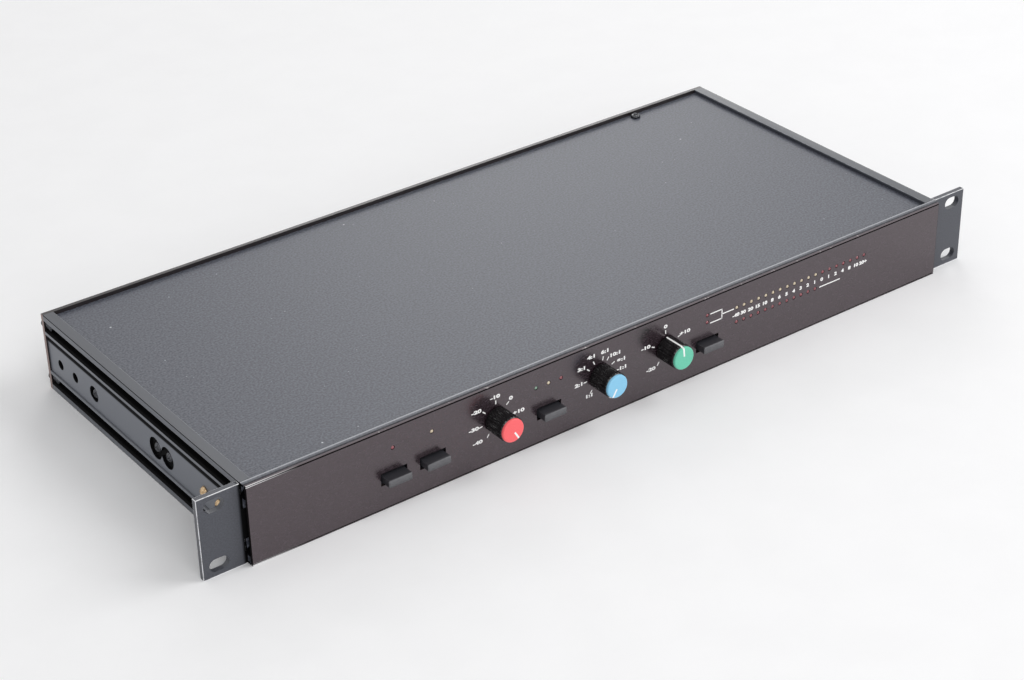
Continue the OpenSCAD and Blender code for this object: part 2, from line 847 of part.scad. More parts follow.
module rail_end_screws() {
    color("#b9bcc0") rail_end_places() {
        translate([0, subpanel_y, 0]) rotate([90, 0, 0])
            pan_screw(m4_d, end_screw_l, m4_front_head_d, m4_front_head_h);
        translate([0, depth, 0]) rotate([-90, 0, 0])
            pan_screw(m4_d, rear_t + end_screw_l, m4_rear_head_d, m4_rear_head_h);
    }
}

// Screws in the left web's recesses: two hold the regulators, one is the earth screw
module rail_web_screws() {
    color("#b9bcc0") for (p = [[regulator_y, tab_t], [regulator_y + regulator_pitch, tab_t], [earth_y, 0]]) {
        translate([-half_w + web_outer_u + recess_d, p[0], -web_hole_drop]) rotate([0, -90, 0])
            round_screw(m3_d, web_t - recess_d + p[1] + m3_nut_h + thread_end, m3_head_d, m3_head_h);
        translate([-half_w + web_inner_u + p[1], p[0], -web_hole_drop]) rotate([0, 90, 0])
            nut(m3_nut_af, m3_nut_h, m3_d + 2 * running_gap);
    }
}

module main_board() {
    color("#2f6b3c") difference() {
        translate([-board_half_w, main_board_y, board_under_z])
            cube([2 * board_half_w, main_board_l, board_t]);
        translate([-board_half_w - cut, window_y, board_under_z - cut])
            cube([window_x + board_half_w + cut, main_board_l, board_t + 2 * cut]);
        for (p = post_places) translate([p[0], p[1], board_under_z - cut])
            cylinder(d = m3_hole, h = board_t + 2 * cut);
    }
}

module board_posts() {
    color("silver") for (p = post_places) translate([p[0], p[1], floor_z])
        nut(post_af, post_h, m3_d + 2 * running_gap);
}

// Screws under the floor for the posts and the transformer, and over the board for the posts
module chassis_screws() {
    floor_under_z = floor_z - cover_t;
    color("silver") {
        for (p = post_places) {
            translate([p[0], p[1], floor_under_z]) mirror([0, 0, 1])
                pan_screw(m3_d, cover_t + post_screw_l, m3_head_d, m3_head_h);
            translate([p[0], p[1], board_top_z]) pan_screw(m3_d, board_screw_l, m3_head_d, m3_head_h);
        }
        for (p = frame_places) {
            translate([p[0], p[1], floor_under_z]) mirror([0, 0, 1])
                pan_screw(m3_d, cover_t + frame_t + m3_nut_h + thread_end, m3_head_d, m3_head_h);
            translate([p[0], p[1], floor_z + frame_t]) nut(m3_nut_af, m3_nut_h, m3_d + 2 * running_gap);
        }
    }
}

module control_board() {
    color("#2f6b3c") translate([control_x0, control_y, control_z0])
        cube([control_x1 - control_x0, board_t, control_z1 - control_z0]);
}

module ribbon_headers() {
    color("#333333") {
        translate([ribbon_x - header_w / 2, control_y + board_t, ribbon_z - header_h / 2])
            cube([header_w, header_l, header_h]);
        translate([ribbon_x - header_w / 2, ribbon_y - header_h / 2, board_top_z])
            cube([header_w, header_h, header_l]);
    }
}

// Flat cable: straight out of one header, a quarter turn down, straight into the other
module ribbon_cable() {
    bend_y = ribbon_y - ribbon_r;
    bend_z = ribbon_z - ribbon_r;
    color("#9aa0a8") translate([ribbon_x - ribbon_w / 2, 0, 0]) rotate([90, 0, 90]) linear_extrude(ribbon_w) {
        translate([control_y + board_t + header_l, ribbon_z - ribbon_t / 2]) square([ribbon_run, ribbon_t]);
        intersection() {
            translate([bend_y, bend_z]) difference() {
                circle(ribbon_r + ribbon_t / 2);
                circle(ribbon_r - ribbon_t / 2);
            }
            translate([bend_y, bend_z]) square(2 * ribbon_r);
        }
        translate([ribbon_y - ribbon_t / 2, board_top_z + header_l])
            square([ribbon_t, bend_z - board_top_z - header_l]);
    }
}

// A round lamp with a domed lens, a rim and two leads that end on the control board
module led() {
    dome_y = panel_face_y - led_proud + led_d / 2;
    rim_y = panel_face_y - led_proud + led_l;
    translate([0, dome_y, 0]) sphere(d = led_d);
    bar_y(led_d, dome_y, rim_y);
    bar_y(led_rim_d, rim_y - led_rim_h, rim_y);
    for (s = [-1, 1]) translate([s * led_lead_pitch / 2, 0, 0])
        block_y(led_lead_w, led_lead_w, rim_y, control_y);
}

module led_group(places) {
    for (p = places) translate([p[0], 0, p[1]]) led();
}

module amber_leds() {
    color("#d9a441") led_group(amber_places);
}

module red_leds() {
    color("#a3332c") led_group(red_places);
}

module green_led() {
    color("#5f9a5a") led_group(green_places);
}

// Rotary control: round case on the plate's rear face and a threaded bush through the panels
module pot(x) {
    color("#9da0a4") translate([x, 0, dial_z]) difference() {
        union() {
            bar_y(pot_d, rail_y0, pot_back_y);
            bar_y(bush_d, bush_front_y, rail_y0);
        }
        bar_y(shaft_d + 2 * running_gap, panel_face_y - cut, rail_y0 + pot_bore_l);
    }
}

module threshold_pot() {
    pot(threshold_x);
}

module ratio_pot() {
    pot(ratio_x);
}

module gain_pot() {
    pot(gain_x);
}

module push_switches() {
    color("#d8d8d2") for (x = [bypass_x, link_x, knee_x, meter_x]) translate([x, 0, button_z]) difference() {
        block_y(switch_w, switch_h, control_y - switch_l, control_y);
        block_y(stem_w + 2 * slide_gap, stem_w + 2 * slide_gap,
            control_y - switch_l - cut, control_y - switch_floor);
    }
}

// Round shaft with a flat along the stretch that the knob grips
module dial_shaft(x, angle) {
    foot = panel_face_y - rail_y0 - pot_bore_l + running_gap;
    color("silver") on_dial(x, dial_z, angle) difference() {
        translate([0, 0, foot]) cylinder(d = shaft_d, h = shaft_in_knob - foot);
        translate([-shaft_d, -shaft_d - shaft_flat, knob_gap]) cube([2 * shaft_d, shaft_d, knob_l]);
    }
}

// Black fluted knob, hollow behind round its hub, with a groove for the pointer line along its side
module knob(x, angle) {
    r = knob_d / 2;
    front = knob_l - cap_t;
    bore_l = shaft_in_knob - knob_gap;
    color("#1b1b1d") on_dial(x, dial_z, angle) difference() {
        rotate_extrude() polygon([
            [0, knob_gap], [r, knob_gap], [r, front - knob_edge], [r - knob_edge, front], [0, front]]);
        for (i = [0 : flutes - 1]) rotate([0, 0, 90 + (i + 0.5) * 360 / flutes])
            translate([r + flute_d / 2 - flute_depth, 0, knob_gap + knob_edge])
                cylinder(d = flute_d, h = knob_l);
        translate([0, 0, knob_gap - cut]) difference() {
            cylinder(r = r - knob_wall, h = knob_hollow + cut);
            cylinder(d = knob_hub_d, h = knob_hollow + cut);
        }
        difference() {
            translate([0, 0, knob_gap - cut]) cylinder(d = shaft_d + 2 * running_gap, h = bore_l + cut);
            translate([-shaft_d, -2 * shaft_d - shaft_flat - running_gap, 0])
                cube([2 * shaft_d, 2 * shaft_d, knob_l]);
        }
        translate([-pointer_w / 2, r - pointer_depth, knob_gap - cut]) cube([pointer_w, r, knob_l + cut]);
    }
}

// Coloured cap with a rounded rim and a groove for the pointer line
module knob_cap(x, angle, tint) {
    r = cap_d / 2;
    base = knob_l - cap_t;
    color(tint) on_dial(x, dial_z, angle) difference() {
        translate([0, 0, base]) rotate_extrude() {
            square([r - cap_edge_r, cap_t]);
            square([r, cap_t - cap_edge_r]);
            intersection() {
                translate([r - cap_edge_r, cap_t - cap_edge_r]) circle(cap_edge_r);
                square([r, cap_t]);
            }
        }
        translate([-pointer_w / 2, pointer_start, knob_l - pointer_depth]) cube([pointer_w, r, cap_t]);
    }
}

module threshold_shaft() {
    dial_shaft(threshold_x, threshold_set);
}

module threshold_knob() {
    knob(threshold_x, threshold_set);
}

module threshold_cap() {
    knob_cap(threshold_x, threshold_set, "#e0604f");
}

module ratio_shaft() {
    dial_shaft(ratio_x, ratio_set);
}

module ratio_knob() {
    knob(ratio_x, ratio_set);
}

module ratio_cap() {
    knob_cap(ratio_x, ratio_set, "#6fb2d8");
}

module gain_shaft() {
    dial_shaft(gain_x, gain_set);
}

module gain_knob() {
    knob(gain_x, gain_set);
}

module gain_cap() {
    knob_cap(gain_x, gain_set, "#7cc29a");
}

// Push button: a bar with a flared front that runs through both panels, and a square stem
module button(x) {
    front_y = panel_face_y - button_out;
    color("#1b1b1d") translate([x, 0, button_z]) {
        intersection() {
            plate_y(front_y, button_back_y) round_rect(button_w, button_h, button_corner_r);
            translate([-button_w / 2, 0, 0]) rotate([90, 0, 90]) linear_extrude(button_w) polygon([
                [front_y, -button_h / 2], [front_y + button_flare_l, -button_h / 2 + button_flare],
                [button_back_y, -button_h / 2 + button_flare], [button_back_y, button_h / 2 - button_flare],
                [front_y + button_flare_l, button_h / 2 - button_flare], [front_y, button_h / 2]]);
        }
        block_y(stem_w, stem_w, button_back_y - button_root, stem_end_y);
    }
}

module bypass_button() {
    button(bypass_x);
}

module link_button() {
    button(link_x);
}

module knee_button() {
    button(knee_x);
}

module meter_button() {
    button(meter_x);
}

// Stack of plates with two windows
module transformer_core() {
    color("#6d6a66") translate([transformer_x, transformer_y, floor_z + core_h / 2]) difference() {
        block_y(core_w, core_h, -core_stack / 2, core_stack / 2);
        for (s = [-1, 1]) translate([s * (leg_w + window_w) / 2, 0, 0])
            block_y(window_w, window_h, -core_stack, core_stack);
    }
}

// Coil round the middle leg, bulging at the front and the rear of the stack
module transformer_winding() {
    coil_h = window_h - 2 * coil_gap;
    coil_w = leg_w + 2 * window_w - 2 * coil_gap;
    coil_l = core_stack + 2 * coil_bulge;
    color("#b9793f") translate([transformer_x, transformer_y, floor_z + core_h / 2 - coil_h / 2])
        linear_extrude(coil_h) difference() {
            round_rect(coil_w, coil_l, coil_corner_r);
            square([leg_w + 2 * coil_gap, core_stack + 2 * coil_gap], center = true);
        }
}

// Strap over the core with a foot on each side
module transformer_frame() {
    color("silver") translate([transformer_x, transformer_y, floor_z]) difference() {
        union() {
            translate([0, 0, (core_h + frame_t) / 2])
                block_y(core_w + 2 * frame_t, core_h + frame_t, -core_stack / 2, core_stack / 2);
            translate([0, 0, frame_t / 2])
                block_y(core_w + 2 * frame_t + 2 * foot_l, frame_t, -core_stack / 2, core_stack / 2);
        }
        translate([0, 0, core_h / 2 - cut / 2]) block_y(core_w, core_h + cut, -core_stack, core_stack);
        for (s = [-1, 1]) translate([s * frame_foot_x, 0, -cut]) cylinder(d = m3_hole, h = frame_t + 2 * cut);
    }
}

module filter_capacitors() {
    ring_x = capacitor_d / 2 + capacitor_ring_out;
    color("#27324a") for (i = [0, 1]) translate([capacitor_x, capacitor_y + i * capacitor_pitch, board_top_z])
        difference() {
            cylinder(d = capacitor_d, h = capacitor_h);
            translate([0, 0, capacitor_ring_z]) rotate_extrude()
                translate([ring_x, 0]) circle(capacitor_ring_r);
        }
}

// Regulators: a tab on the web's inner face, a body below it and three leads on the main board
module regulators() {
    web_x = -half_w + web_inner_u;
    color("#26262a") for (i = [0, 1]) translate([web_x, regulator_y + i * regulator_pitch, 0]) {
        difference() {
            translate([0, -device_w / 2, -device_body_top])
                cube([tab_t, device_w, device_body_top + device_tab_up - web_hole_drop]);
            translate([-cut, 0, -web_hole_drop]) rotate([0, 90, 0]) cylinder(d = m3_hole, h = tab_t + 2 * cut);
        }
        translate([0, -device_w / 2, board_top_z + lead_t])
            cube([device_t, device_w, -device_body_top - board_top_z - lead_t]);
        for (j = [-1 : 1]) translate([tab_t, j * lead_pitch - lead_w / 2, board_top_z])
            cube([lead_l, lead_w, lead_t]);
    }
}

module signal_chips() {
    pin_h = chip_lift + chip_h / 2;
    pin_x0 = -(chip_pins - 1) * chip_pin_pitch / 2;
    color("#202024") for (p = chip_places) translate([p[0], p[1], board_top_z]) {
        translate([-chip_l / 2, -chip_w / 2, chip_lift]) cube([chip_l, chip_w, chip_h]);
        for (i = [0 : chip_pins - 1], s = [-1, 1])
            translate([pin_x0 + i * chip_pin_pitch, s * (chip_w + chip_pin_w) / 2, pin_h / 2])
                cube([chip_pin_w, chip_pin_w, pin_h], center = true);
    }
}

// Shielded gain control module
module gain_module() {
    color("#a8abb0") translate([module_x, main_board_y + module_in, board_top_z]) difference() {
        linear_extrude(module_h) round_rect(module_w, module_d, module_r);
        translate([0, 0, module_h - module_dip]) linear_extrude(module_h)
            round_rect(module_w - 2 * module_rim, module_d - 2 * module_rim, module_r);
    }
}

// Mains inlet: flange, body and a cavity whose two upper corners are cut
module mains_inlet() {
    color("#1b1b1d") translate([inlet_x, 0, 0]) difference() {
        union() {
            plate_y(depth, depth + inlet_flange_t) round_rect(inlet_flange_w, inlet_flange_h, inlet_flange_r);
            block_y(inlet_body_w, inlet_body_h, depth - inlet_body_l, depth);
        }
        plate_y(depth + inlet_flange_t - inlet_cavity_l, depth + inlet_flange_t + cut) difference() {
            round_rect(inlet_cavity_w, inlet_cavity_h, inlet_cavity_r);
            for (s = [-1, 1]) translate([s * inlet_cavity_w / 2, inlet_cavity_h / 2]) rotate(45)
                square(inlet_corner * sqrt(2), center = true);
        }
        for (p = inlet_places) translate([p[0], 0, p[1]])
            block_y(inlet_pin_w + 2 * running_gap, inlet_pin_h + 2 * running_gap,
                depth - inlet_body_l - cut, depth + inlet_flange_t - inlet_cavity_l + cut);
        for (s = [-1, 1]) translate([s * inlet_screw_x, 0, 0])
            bar_y(m3_hole, depth - cut, depth + inlet_flange_t + cut);
    }
}

module inlet_pins() {
    pin_end_y = depth + inlet_flange_t - inlet_cavity_l + inlet_pin_l;
    color("silver") translate([inlet_x, 0, 0]) for (p = inlet_places) translate([p[0], 0, p[1]])
        block_y(inlet_pin_w, inlet_pin_h, depth - inlet_body_l - pin_tail, pin_end_y);
}

module fuse_holder() {
    color("#1b1b1d") translate([fuse_x, 0, 0]) difference() {
        union() {
            bar_y(fuse_body_d, depth - fuse_body_l, depth);
            bar_y(fuse_collar_d, depth, depth + fuse_collar_t);
        }
        bar_y(fuse_bore, depth + fuse_collar_t - fuse_plug_l - loose_gap, depth + fuse_collar_t + cut);
    }
}

// Cap of the fuse holder: a round head with a driver slot and a plug that turns in the holder
module fuse_cap() {
    head_y = depth + fuse_collar_t + loose_gap;
    top_y = head_y + fuse_cap_out;
    color("#1b1b1d") translate([fuse_x, 0, 0]) difference() {
        union() {
            bar_y(fuse_cap_d, head_y, top_y);
            bar_y(fuse_bore - 2 * running_gap, depth + fuse_collar_t - fuse_plug_l, head_y);
        }
        block_y(fuse_slot_w, fuse_cap_d + cut, top_y - fuse_slot_d, top_y + cut);
    }
}

// Round socket: flange and barrel with a cavity
module socket(x, cavity_d, cavity_l) {
    translate([x, 0, 0]) difference() {
        union() {
            plate_y(depth, depth + socket_flange_t)
                round_rect(socket_flange_w, socket_flange_h, socket_corner_r);
            bar_y(barrel_d, depth - barrel_l, depth);
        }
        bar_y(cavity_d, depth + socket_flange_t - cavity_l, depth + socket_flange_t + cut);
        for (p = socket_screws) translate([p[0], 0, p[1]])
            bar_y(m3_hole, depth - cut, depth + socket_flange_t + cut);
        children();
    }
}

module contact_places() {
    for (a = pin_angles) translate([pin_circle_r * cos(a), 0, pin_circle_r * sin(a)]) children();
}

module input_socket() {
    color("#2a2a2d") socket(input_x, input_cavity_d, input_cavity_l)
        translate([0, 0, latch_z]) block_y(latch_w + 2 * slide_gap, latch_h + 2 * slide_gap,
            depth + socket_flange_t - latch_pocket, depth + socket_flange_t + cut);
}

// Insulator on the floor of the input socket, with three contact holes
module input_core() {
    floor_y = depth + socket_flange_t - input_cavity_l;
    color("#1b1b1d") translate([input_x, 0, 0]) difference() {
        bar_y(input_core_d, floor_y, floor_y + input_core_l);
        contact_places() bar_y(contact_hole_d, floor_y + contact_floor, floor_y + input_core_l + cut);
    }
}

module input_latch() {
    back_y = depth + socket_flange_t - latch_pocket + latch_travel + slide_gap;
    color("#b9bcc0") translate([input_x, 0, latch_z]) plate_y(back_y, back_y + latch_l)
        round_rect(latch_w, latch_h, latch_r);
}

module output_socket() {
    color("#2a2a2d") socket(output_x, output_cavity_d, output_cavity_l)
        contact_places() bar_y(output_pin_d + 2 * running_gap, depth - barrel_l - cut, depth);
}

module output_pins() {
    floor_y = depth + socket_flange_t - output_cavity_l;
    color("silver") translate([output_x, 0, 0]) contact_places() {
        bar_y(output_pin_d, depth - barrel_l - pin_tail, floor_y + output_pin_l - output_pin_d / 2);
        translate([0, floor_y + output_pin_l - output_pin_d / 2, 0]) sphere(d = output_pin_d);
    }
}

// Phone jacks: a threaded nose through the panel, a case behind it and legs down to the board
module phone_jacks() {
    nose_y = depth + jack_nose_out;
    color("#232326") for (i = [0 : jack_count - 1]) translate([jack_x + i * jack_pitch, 0, 0]) difference() {
        union() {
            bar_y(jack_nose_d, rear_inner_y, nose_y);
            block_y(jack_w, jack_h, rear_inner_y - jack_l, rear_inner_y);
            for (s = [-1, 1])
                translate([s * jack_w / 3 - jack_leg_w / 2, rear_inner_y - jack_l + jack_leg_in, board_top_z])
                    cube([jack_leg_w, jack_leg_w, -board_top_z]);
        }
        bar_y(jack_bore, nose_y - jack_bore_l, nose_y + cut);
    }
}

module rear_nuts() {
    color("silver") {
        for (i = [0 : jack_count - 1]) translate([jack_x + i * jack_pitch, depth, 0]) rotate([-90, 0, 0])
            nut(jack_nut_af, jack_nut_h, jack_nose_d + 2 * running_gap);
        translate([fuse_x, rear_inner_y, 0]) rotate([90, 0, 0])
            nut(fuse_nut_af, fuse_nut_h, fuse_body_d + 2 * running_gap);
    }
}

module rear_screws() {
    color("#b9bcc0") {
        for (p = socket_screw_places) translate([p[0], depth + socket_flange_t, p[1]]) rotate([-90, 0, 0])
            pan_screw(m3_d, socket_flange_t + rear_t + thread_bite, m3_head_d, m3_head_h);
        for (p = inlet_screw_places) translate([p[0], depth + inlet_flange_t, p[1]]) rotate([-90, 0, 0])
            pan_screw(m3_d, inlet_flange_t + rear_t + thread_bite, m3_head_d, m3_head_h);
    }
}

left_rail();
right_rail();
top_cover();
bottom_cover();
front_panel();
front_subpanel();
rear_panel();
left_ear();
right_ear();
ear_screws();
rail_end_screws();
rail_web_screws();
cover_screw();
cover_bracket();
front_nuts();
main_board();
board_posts();
chassis_screws();
control_board();
ribbon_headers();
ribbon_cable();
amber_leds();
red_leds();
green_led();
threshold_pot();
ratio_pot();
gain_pot();
push_switches();
threshold_shaft();
threshold_knob();
threshold_cap();
ratio_shaft();
ratio_knob();
ratio_cap();
gain_shaft();
gain_knob();
gain_cap();
bypass_button();
link_button();
knee_button();
meter_button();
transformer_core();
transformer_winding();
transformer_frame();
filter_capacitors();
regulators();
signal_chips();
gain_module();
mains_inlet();
inlet_pins();
fuse_holder();
fuse_cap();
input_socket();
input_core();
input_latch();
output_socket();
output_pins();
phone_jacks();
rear_nuts();
rear_screws();
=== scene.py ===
"""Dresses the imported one-unit rack compressor: camera, finishes, edges, screw recesses, marks and studio."""
import json
import math

import bmesh
import bpy
from mathutils import Matrix, Vector

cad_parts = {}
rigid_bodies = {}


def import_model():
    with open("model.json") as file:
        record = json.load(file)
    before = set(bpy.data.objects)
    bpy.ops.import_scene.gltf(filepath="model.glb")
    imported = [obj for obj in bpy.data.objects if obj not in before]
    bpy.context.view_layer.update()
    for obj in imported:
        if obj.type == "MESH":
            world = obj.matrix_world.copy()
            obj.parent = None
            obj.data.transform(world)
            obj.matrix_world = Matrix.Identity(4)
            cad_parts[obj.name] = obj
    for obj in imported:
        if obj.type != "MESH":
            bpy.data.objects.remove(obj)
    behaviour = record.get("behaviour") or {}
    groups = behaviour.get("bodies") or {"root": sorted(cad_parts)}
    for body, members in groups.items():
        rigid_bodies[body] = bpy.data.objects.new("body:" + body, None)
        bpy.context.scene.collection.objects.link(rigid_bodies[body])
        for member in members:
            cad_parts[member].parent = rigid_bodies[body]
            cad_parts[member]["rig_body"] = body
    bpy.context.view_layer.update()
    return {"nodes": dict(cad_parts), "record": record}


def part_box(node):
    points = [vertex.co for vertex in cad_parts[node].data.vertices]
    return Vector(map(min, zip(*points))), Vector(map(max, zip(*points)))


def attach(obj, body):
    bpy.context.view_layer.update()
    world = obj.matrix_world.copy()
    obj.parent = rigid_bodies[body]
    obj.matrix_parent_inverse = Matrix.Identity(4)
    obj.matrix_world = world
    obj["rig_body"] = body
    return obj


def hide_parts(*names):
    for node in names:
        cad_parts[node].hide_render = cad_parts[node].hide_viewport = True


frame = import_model()
nodes = frame["nodes"]
scene = bpy.context.scene
scene.view_settings.view_transform = "Standard"
MM = 0.001

# Camera: place, axes and lens fitted to the ears, the slots and the panel's edges, for a frame of 1024 by 680.
CAMERA_PLACE = (-0.61294, -0.74453, 0.58477)
CAMERA_RIGHT = (0.79961, -0.60021, -0.01920)
CAMERA_UP = (0.31856, 0.39685, 0.86083)
CAMERA_BACK = (-0.50906, -0.69445, 0.50853)
CAMERA_SENSOR, CAMERA_LENS = 36.0, 79.6345
camera = bpy.data.objects.new("camera", bpy.data.cameras.new("camera"))
scene.collection.objects.link(camera)
camera.data.sensor_width = CAMERA_SENSOR
camera.data.lens = CAMERA_LENS
columns = (CAMERA_RIGHT, CAMERA_UP, CAMERA_BACK, CAMERA_PLACE)
camera.matrix_world = Matrix([[column[row] for column in columns] for row in range(3)] + [[0, 0, 0, 1]])
scene.camera = camera

# Sizes read from the solids, in metres.
PANEL_LOW, PANEL_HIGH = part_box("front_panel")
PANEL_FACE = PANEL_LOW.y
_, PLATE_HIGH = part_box("front_subpanel")
RAIL_LOW, RAIL_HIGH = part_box("left_rail")
EAR_LOW, EAR_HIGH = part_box("left_ear")
_, REAR_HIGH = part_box("rear_panel")
DIALS = {
    dial: (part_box(f"{dial}_knob")[0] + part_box(f"{dial}_knob")[1]) / 2
    for dial in ("threshold", "ratio", "gain")
}
SLOTS = {part["node"]: part["material_slot"] for part in frame["record"]["subparts"]}

# Sockets of the shader's colour mix, which share their names with the other kinds of mix.
MIX_A, MIX_B, MIX_COLOUR = 6, 7, 2
# Grain: the part of the noise's range that is spread over a finish's two colours, since noise keeps near its
# middle, the noise's detail, and the strength of its bump.
GRAIN_LOW, GRAIN_HIGH, GRAIN_DETAIL, GRAIN_BUMP = 0.35, 0.65, 3.0, 0.6
# The shader's own strength of shine.
PLAIN_SHINE = 0.5
# Patches of wear and of painted highlight: their size in millimetres, how soft their rims are, and their
# noise's detail and seed.
PATCH_SIZE, PATCH_RIM, PATCH_DETAIL, PATCH_SEED = (3, 3, 3), 0.08, 4.0, 7.0
# Dust: the part of a speck inside its soft rim, the cells that have one, from faint to strong, and the most of
# its colour that a speck gets.
SPECK_CORE, SPECK_FAINT, SPECK_STRONG, SPECK_MOST = 0.6, 0.45, 0.75, 0.8


def linear(code):
    """A colour written as an sRGB hex value, as linear RGBA."""
    parts = [int(code[i:i + 2], 16) / 255 for i in (1, 3, 5)]
    return [c / 12.92 if c <= 0.04045 else ((c + 0.055) / 1.055) ** 2.4 for c in parts] + [1.0]


def add(tree, kind, sockets=None, **settings):
    """Adds a node: settings are its properties, sockets its inputs by name or number, as values or links."""
    node = tree.nodes.new(kind)
    for key, value in settings.items():
        setattr(node, key, value)
    for key, value in (sockets or {}).items():
        if isinstance(value, bpy.types.NodeSocket):
            tree.links.new(value, node.inputs[key])
        else:
            node.inputs[key].default_value = value
    return node


class Finish:
    """A material of two close colours mixed by a grain, which also varies the gloss and lifts the surface."""

    def __init__(self, name, dark, light, grain_mm, gloss, lift_mm, metallic=0.0, ior=None, coat=0.0):
        self.material = bpy.data.materials.new(name)
        self.material.use_nodes = True
        self.tree = self.material.node_tree
        self.shader = self.tree.nodes["Principled BSDF"]
        self.place = add(self.tree, "ShaderNodeTexCoord").outputs["Object"]
        grain = self.pattern(grain_mm, GRAIN_DETAIL, 0.0)
        spread = add(self.tree, "ShaderNodeMapRange", {
            "Value": grain, "From Min": GRAIN_LOW, "From Max": GRAIN_HIGH}).outputs["Result"]
        self.colour = add(self.tree, "ShaderNodeMix", {
            "Factor": spread, MIX_A: linear(dark), MIX_B: linear(light)},
            data_type="RGBA").outputs[MIX_COLOUR]
        self.rough = add(self.tree, "ShaderNodeMix", {0: spread, 2: gloss[0], 3: gloss[1]},
                         data_type="FLOAT").outputs[0]
        self.shine = PLAIN_SHINE
        bump = add(self.tree, "ShaderNodeBump", {
            "Height": grain, "Strength": GRAIN_BUMP, "Distance": lift_mm * MM})
        self.tree.links.new(bump.outputs["Normal"], self.shader.inputs["Normal"])
        self.shader.inputs["Metallic"].default_value = metallic
        self.shader.inputs["Coat Weight"].default_value = coat
        if ior is not None:
            self.shader.inputs["IOR"].default_value = ior
        self.tree.links.new(self.colour, self.shader.inputs["Base Color"])
        self.tree.links.new(self.rough, self.shader.inputs["Roughness"])

    def pattern(self, size_mm, detail, seed):
        """Noise whose cells have this size along X, Y and Z, in millimetres."""
        scaled = add(self.tree, "ShaderNodeMapping", {
            "Vector": self.place, "Location": (seed, seed, seed),
            "Scale": [1 / (size * MM) for size in size_mm]})
        return add(self.tree, "ShaderNodeTexNoise", {
            "Vector": scaled.outputs["Vector"], "Scale": 1.0, "Detail": detail}).outputs["Fac"]

    def over(self, share, code, rough, shine):
        """Lays another colour, roughness and strength of shine over the surface where share is 1."""
        self.colour = add(self.tree, "ShaderNodeMix", {
            "Factor": share, MIX_A: self.colour, MIX_B: linear(code)}, data_type="RGBA").outputs[MIX_COLOUR]
        self.rough = add(self.tree, "ShaderNodeMix", {0: share, 2: self.rough, 3: rough},
                         data_type="FLOAT").outputs[0]
        self.tree.links.new(self.colour, self.shader.inputs["Base Color"])
        self.tree.links.new(self.rough, self.shader.inputs["Roughness"])
        if shine != PLAIN_SHINE or self.shine != PLAIN_SHINE:
            self.shine = add(self.tree, "ShaderNodeMix", {0: share, 2: self.shine, 3: shine},
                             data_type="FLOAT").outputs[0]
            self.tree.links.new(self.shine, self.shader.inputs["Specular IOR Level"])

    def marked(self, attribute, code, rough, shine=PLAIN_SHINE):
        """A colour on the faces that carry the attribute."""
        face = add(self.tree, "ShaderNodeAttribute", attribute_name=attribute).outputs["Fac"]
        self.over(face, code, rough, shine)

    def patched(self, attribute, code, rough, least, start):
        """A colour on the faces that carry the attribute: least of it all over, all of it in patches."""
        face = add(self.tree, "ShaderNodeAttribute", attribute_name=attribute).outputs["Fac"]
        patches = add(self.tree, "ShaderNodeMapRange", {
            "Value": self.pattern(PATCH_SIZE, PATCH_DETAIL, PATCH_SEED), "From Min": start,
            "From Max": start + PATCH_RIM, "To Min": least, "To Max": 1.0}).outputs["Result"]
        share = add(self.tree, "ShaderNodeMath", {0: face, 1: patches}, operation="MULTIPLY")
        self.over(share.outputs["Value"], code, rough, PLAIN_SHINE)

    def faded(self, axis, full_mm, none_mm, attribute, code, rough, shine=PLAIN_SHINE):
        """A colour that fades out along an axis, on the faces that carry the attribute, or on all of them."""
        along = add(self.tree, "ShaderNodeSeparateXYZ", {"Vector": self.place}).outputs[axis]
        fade = add(self.tree, "ShaderNodeMapRange", {
            "Value": along, "From Min": full_mm * MM, "From Max": none_mm * MM,
            "To Min": 1.0, "To Max": 0.0}).outputs["Result"]
        if attribute:
            face = add(self.tree, "ShaderNodeAttribute", attribute_name=attribute).outputs["Fac"]
            fade = add(self.tree, "ShaderNodeMath", {0: face, 1: fade}, operation="MULTIPLY").outputs["Value"]
        self.over(fade, code, rough, shine)

    def specked(self, spacing_mm, size_mm, seed, code, rough):
        """Dust: one small spot in some of the cells of a loose grid, about spacing_mm apart."""
        scaled = add(self.tree, "ShaderNodeMapping", {
            "Vector": self.place, "Location": (seed, seed, seed), "Scale": [1 / (spacing_mm * MM)] * 3})
        cells = add(self.tree, "ShaderNodeTexVoronoi", {"Vector": scaled.outputs["Vector"], "Scale": 1.0})
        size = size_mm / spacing_mm
        speck = add(self.tree, "ShaderNodeMapRange", {
            "Value": cells.outputs["Distance"], "From Min": SPECK_CORE * size, "From Max": size,
            "To Min": 1.0, "To Max": 0.0})
        pick = add(self.tree, "ShaderNodeSeparateColor", {"Color": cells.outputs["Color"]})
        some = add(self.tree, "ShaderNodeMapRange", {
            "Value": pick.outputs["Red"], "From Min": SPECK_FAINT, "From Max": SPECK_STRONG,
            "To Max": SPECK_MOST})
        share = add(self.tree, "ShaderNodeMath", {0: speck.outputs["Result"], 1: some.outputs["Result"]},
                    operation="MULTIPLY")
        self.over(share.outputs["Value"], code, rough, PLAIN_SHINE)


finishes = {}

# A pixel of the main view is about half a millimetre wide, so finer grits and brush lines are drawn as coarse
# as they need to show.

# Extruded aluminium, black anodised: die lines run along the rail and give it a faint lengthwise sheen.
# The outside is painted paler as painted light, and the corner beside the cover gets a painted highlight.
# The outer corners, the front end, the grooves, the holes and a strip of the web under the ridge are painted
# dark and dull as painted shade.
finishes["rail"] = Finish("black anodised aluminium, extruded", "#2d313a", "#383c45",
                          (0.6, 90, 0.6), (0.36, 0.48), 0.006, ior=1.72)
finishes["rail"].marked("paler", "#666a73", 0.42)
finishes["rail"].faded("Z", 7.4, 6.4, "shaded", "#0b0b0d", 0.8, 0.05)
finishes["rail"].marked("dulled", "#060607", 0.8, 0.05)
finishes["rail"].patched("worn", "#85888e", 0.4, 0.45, 0.5)
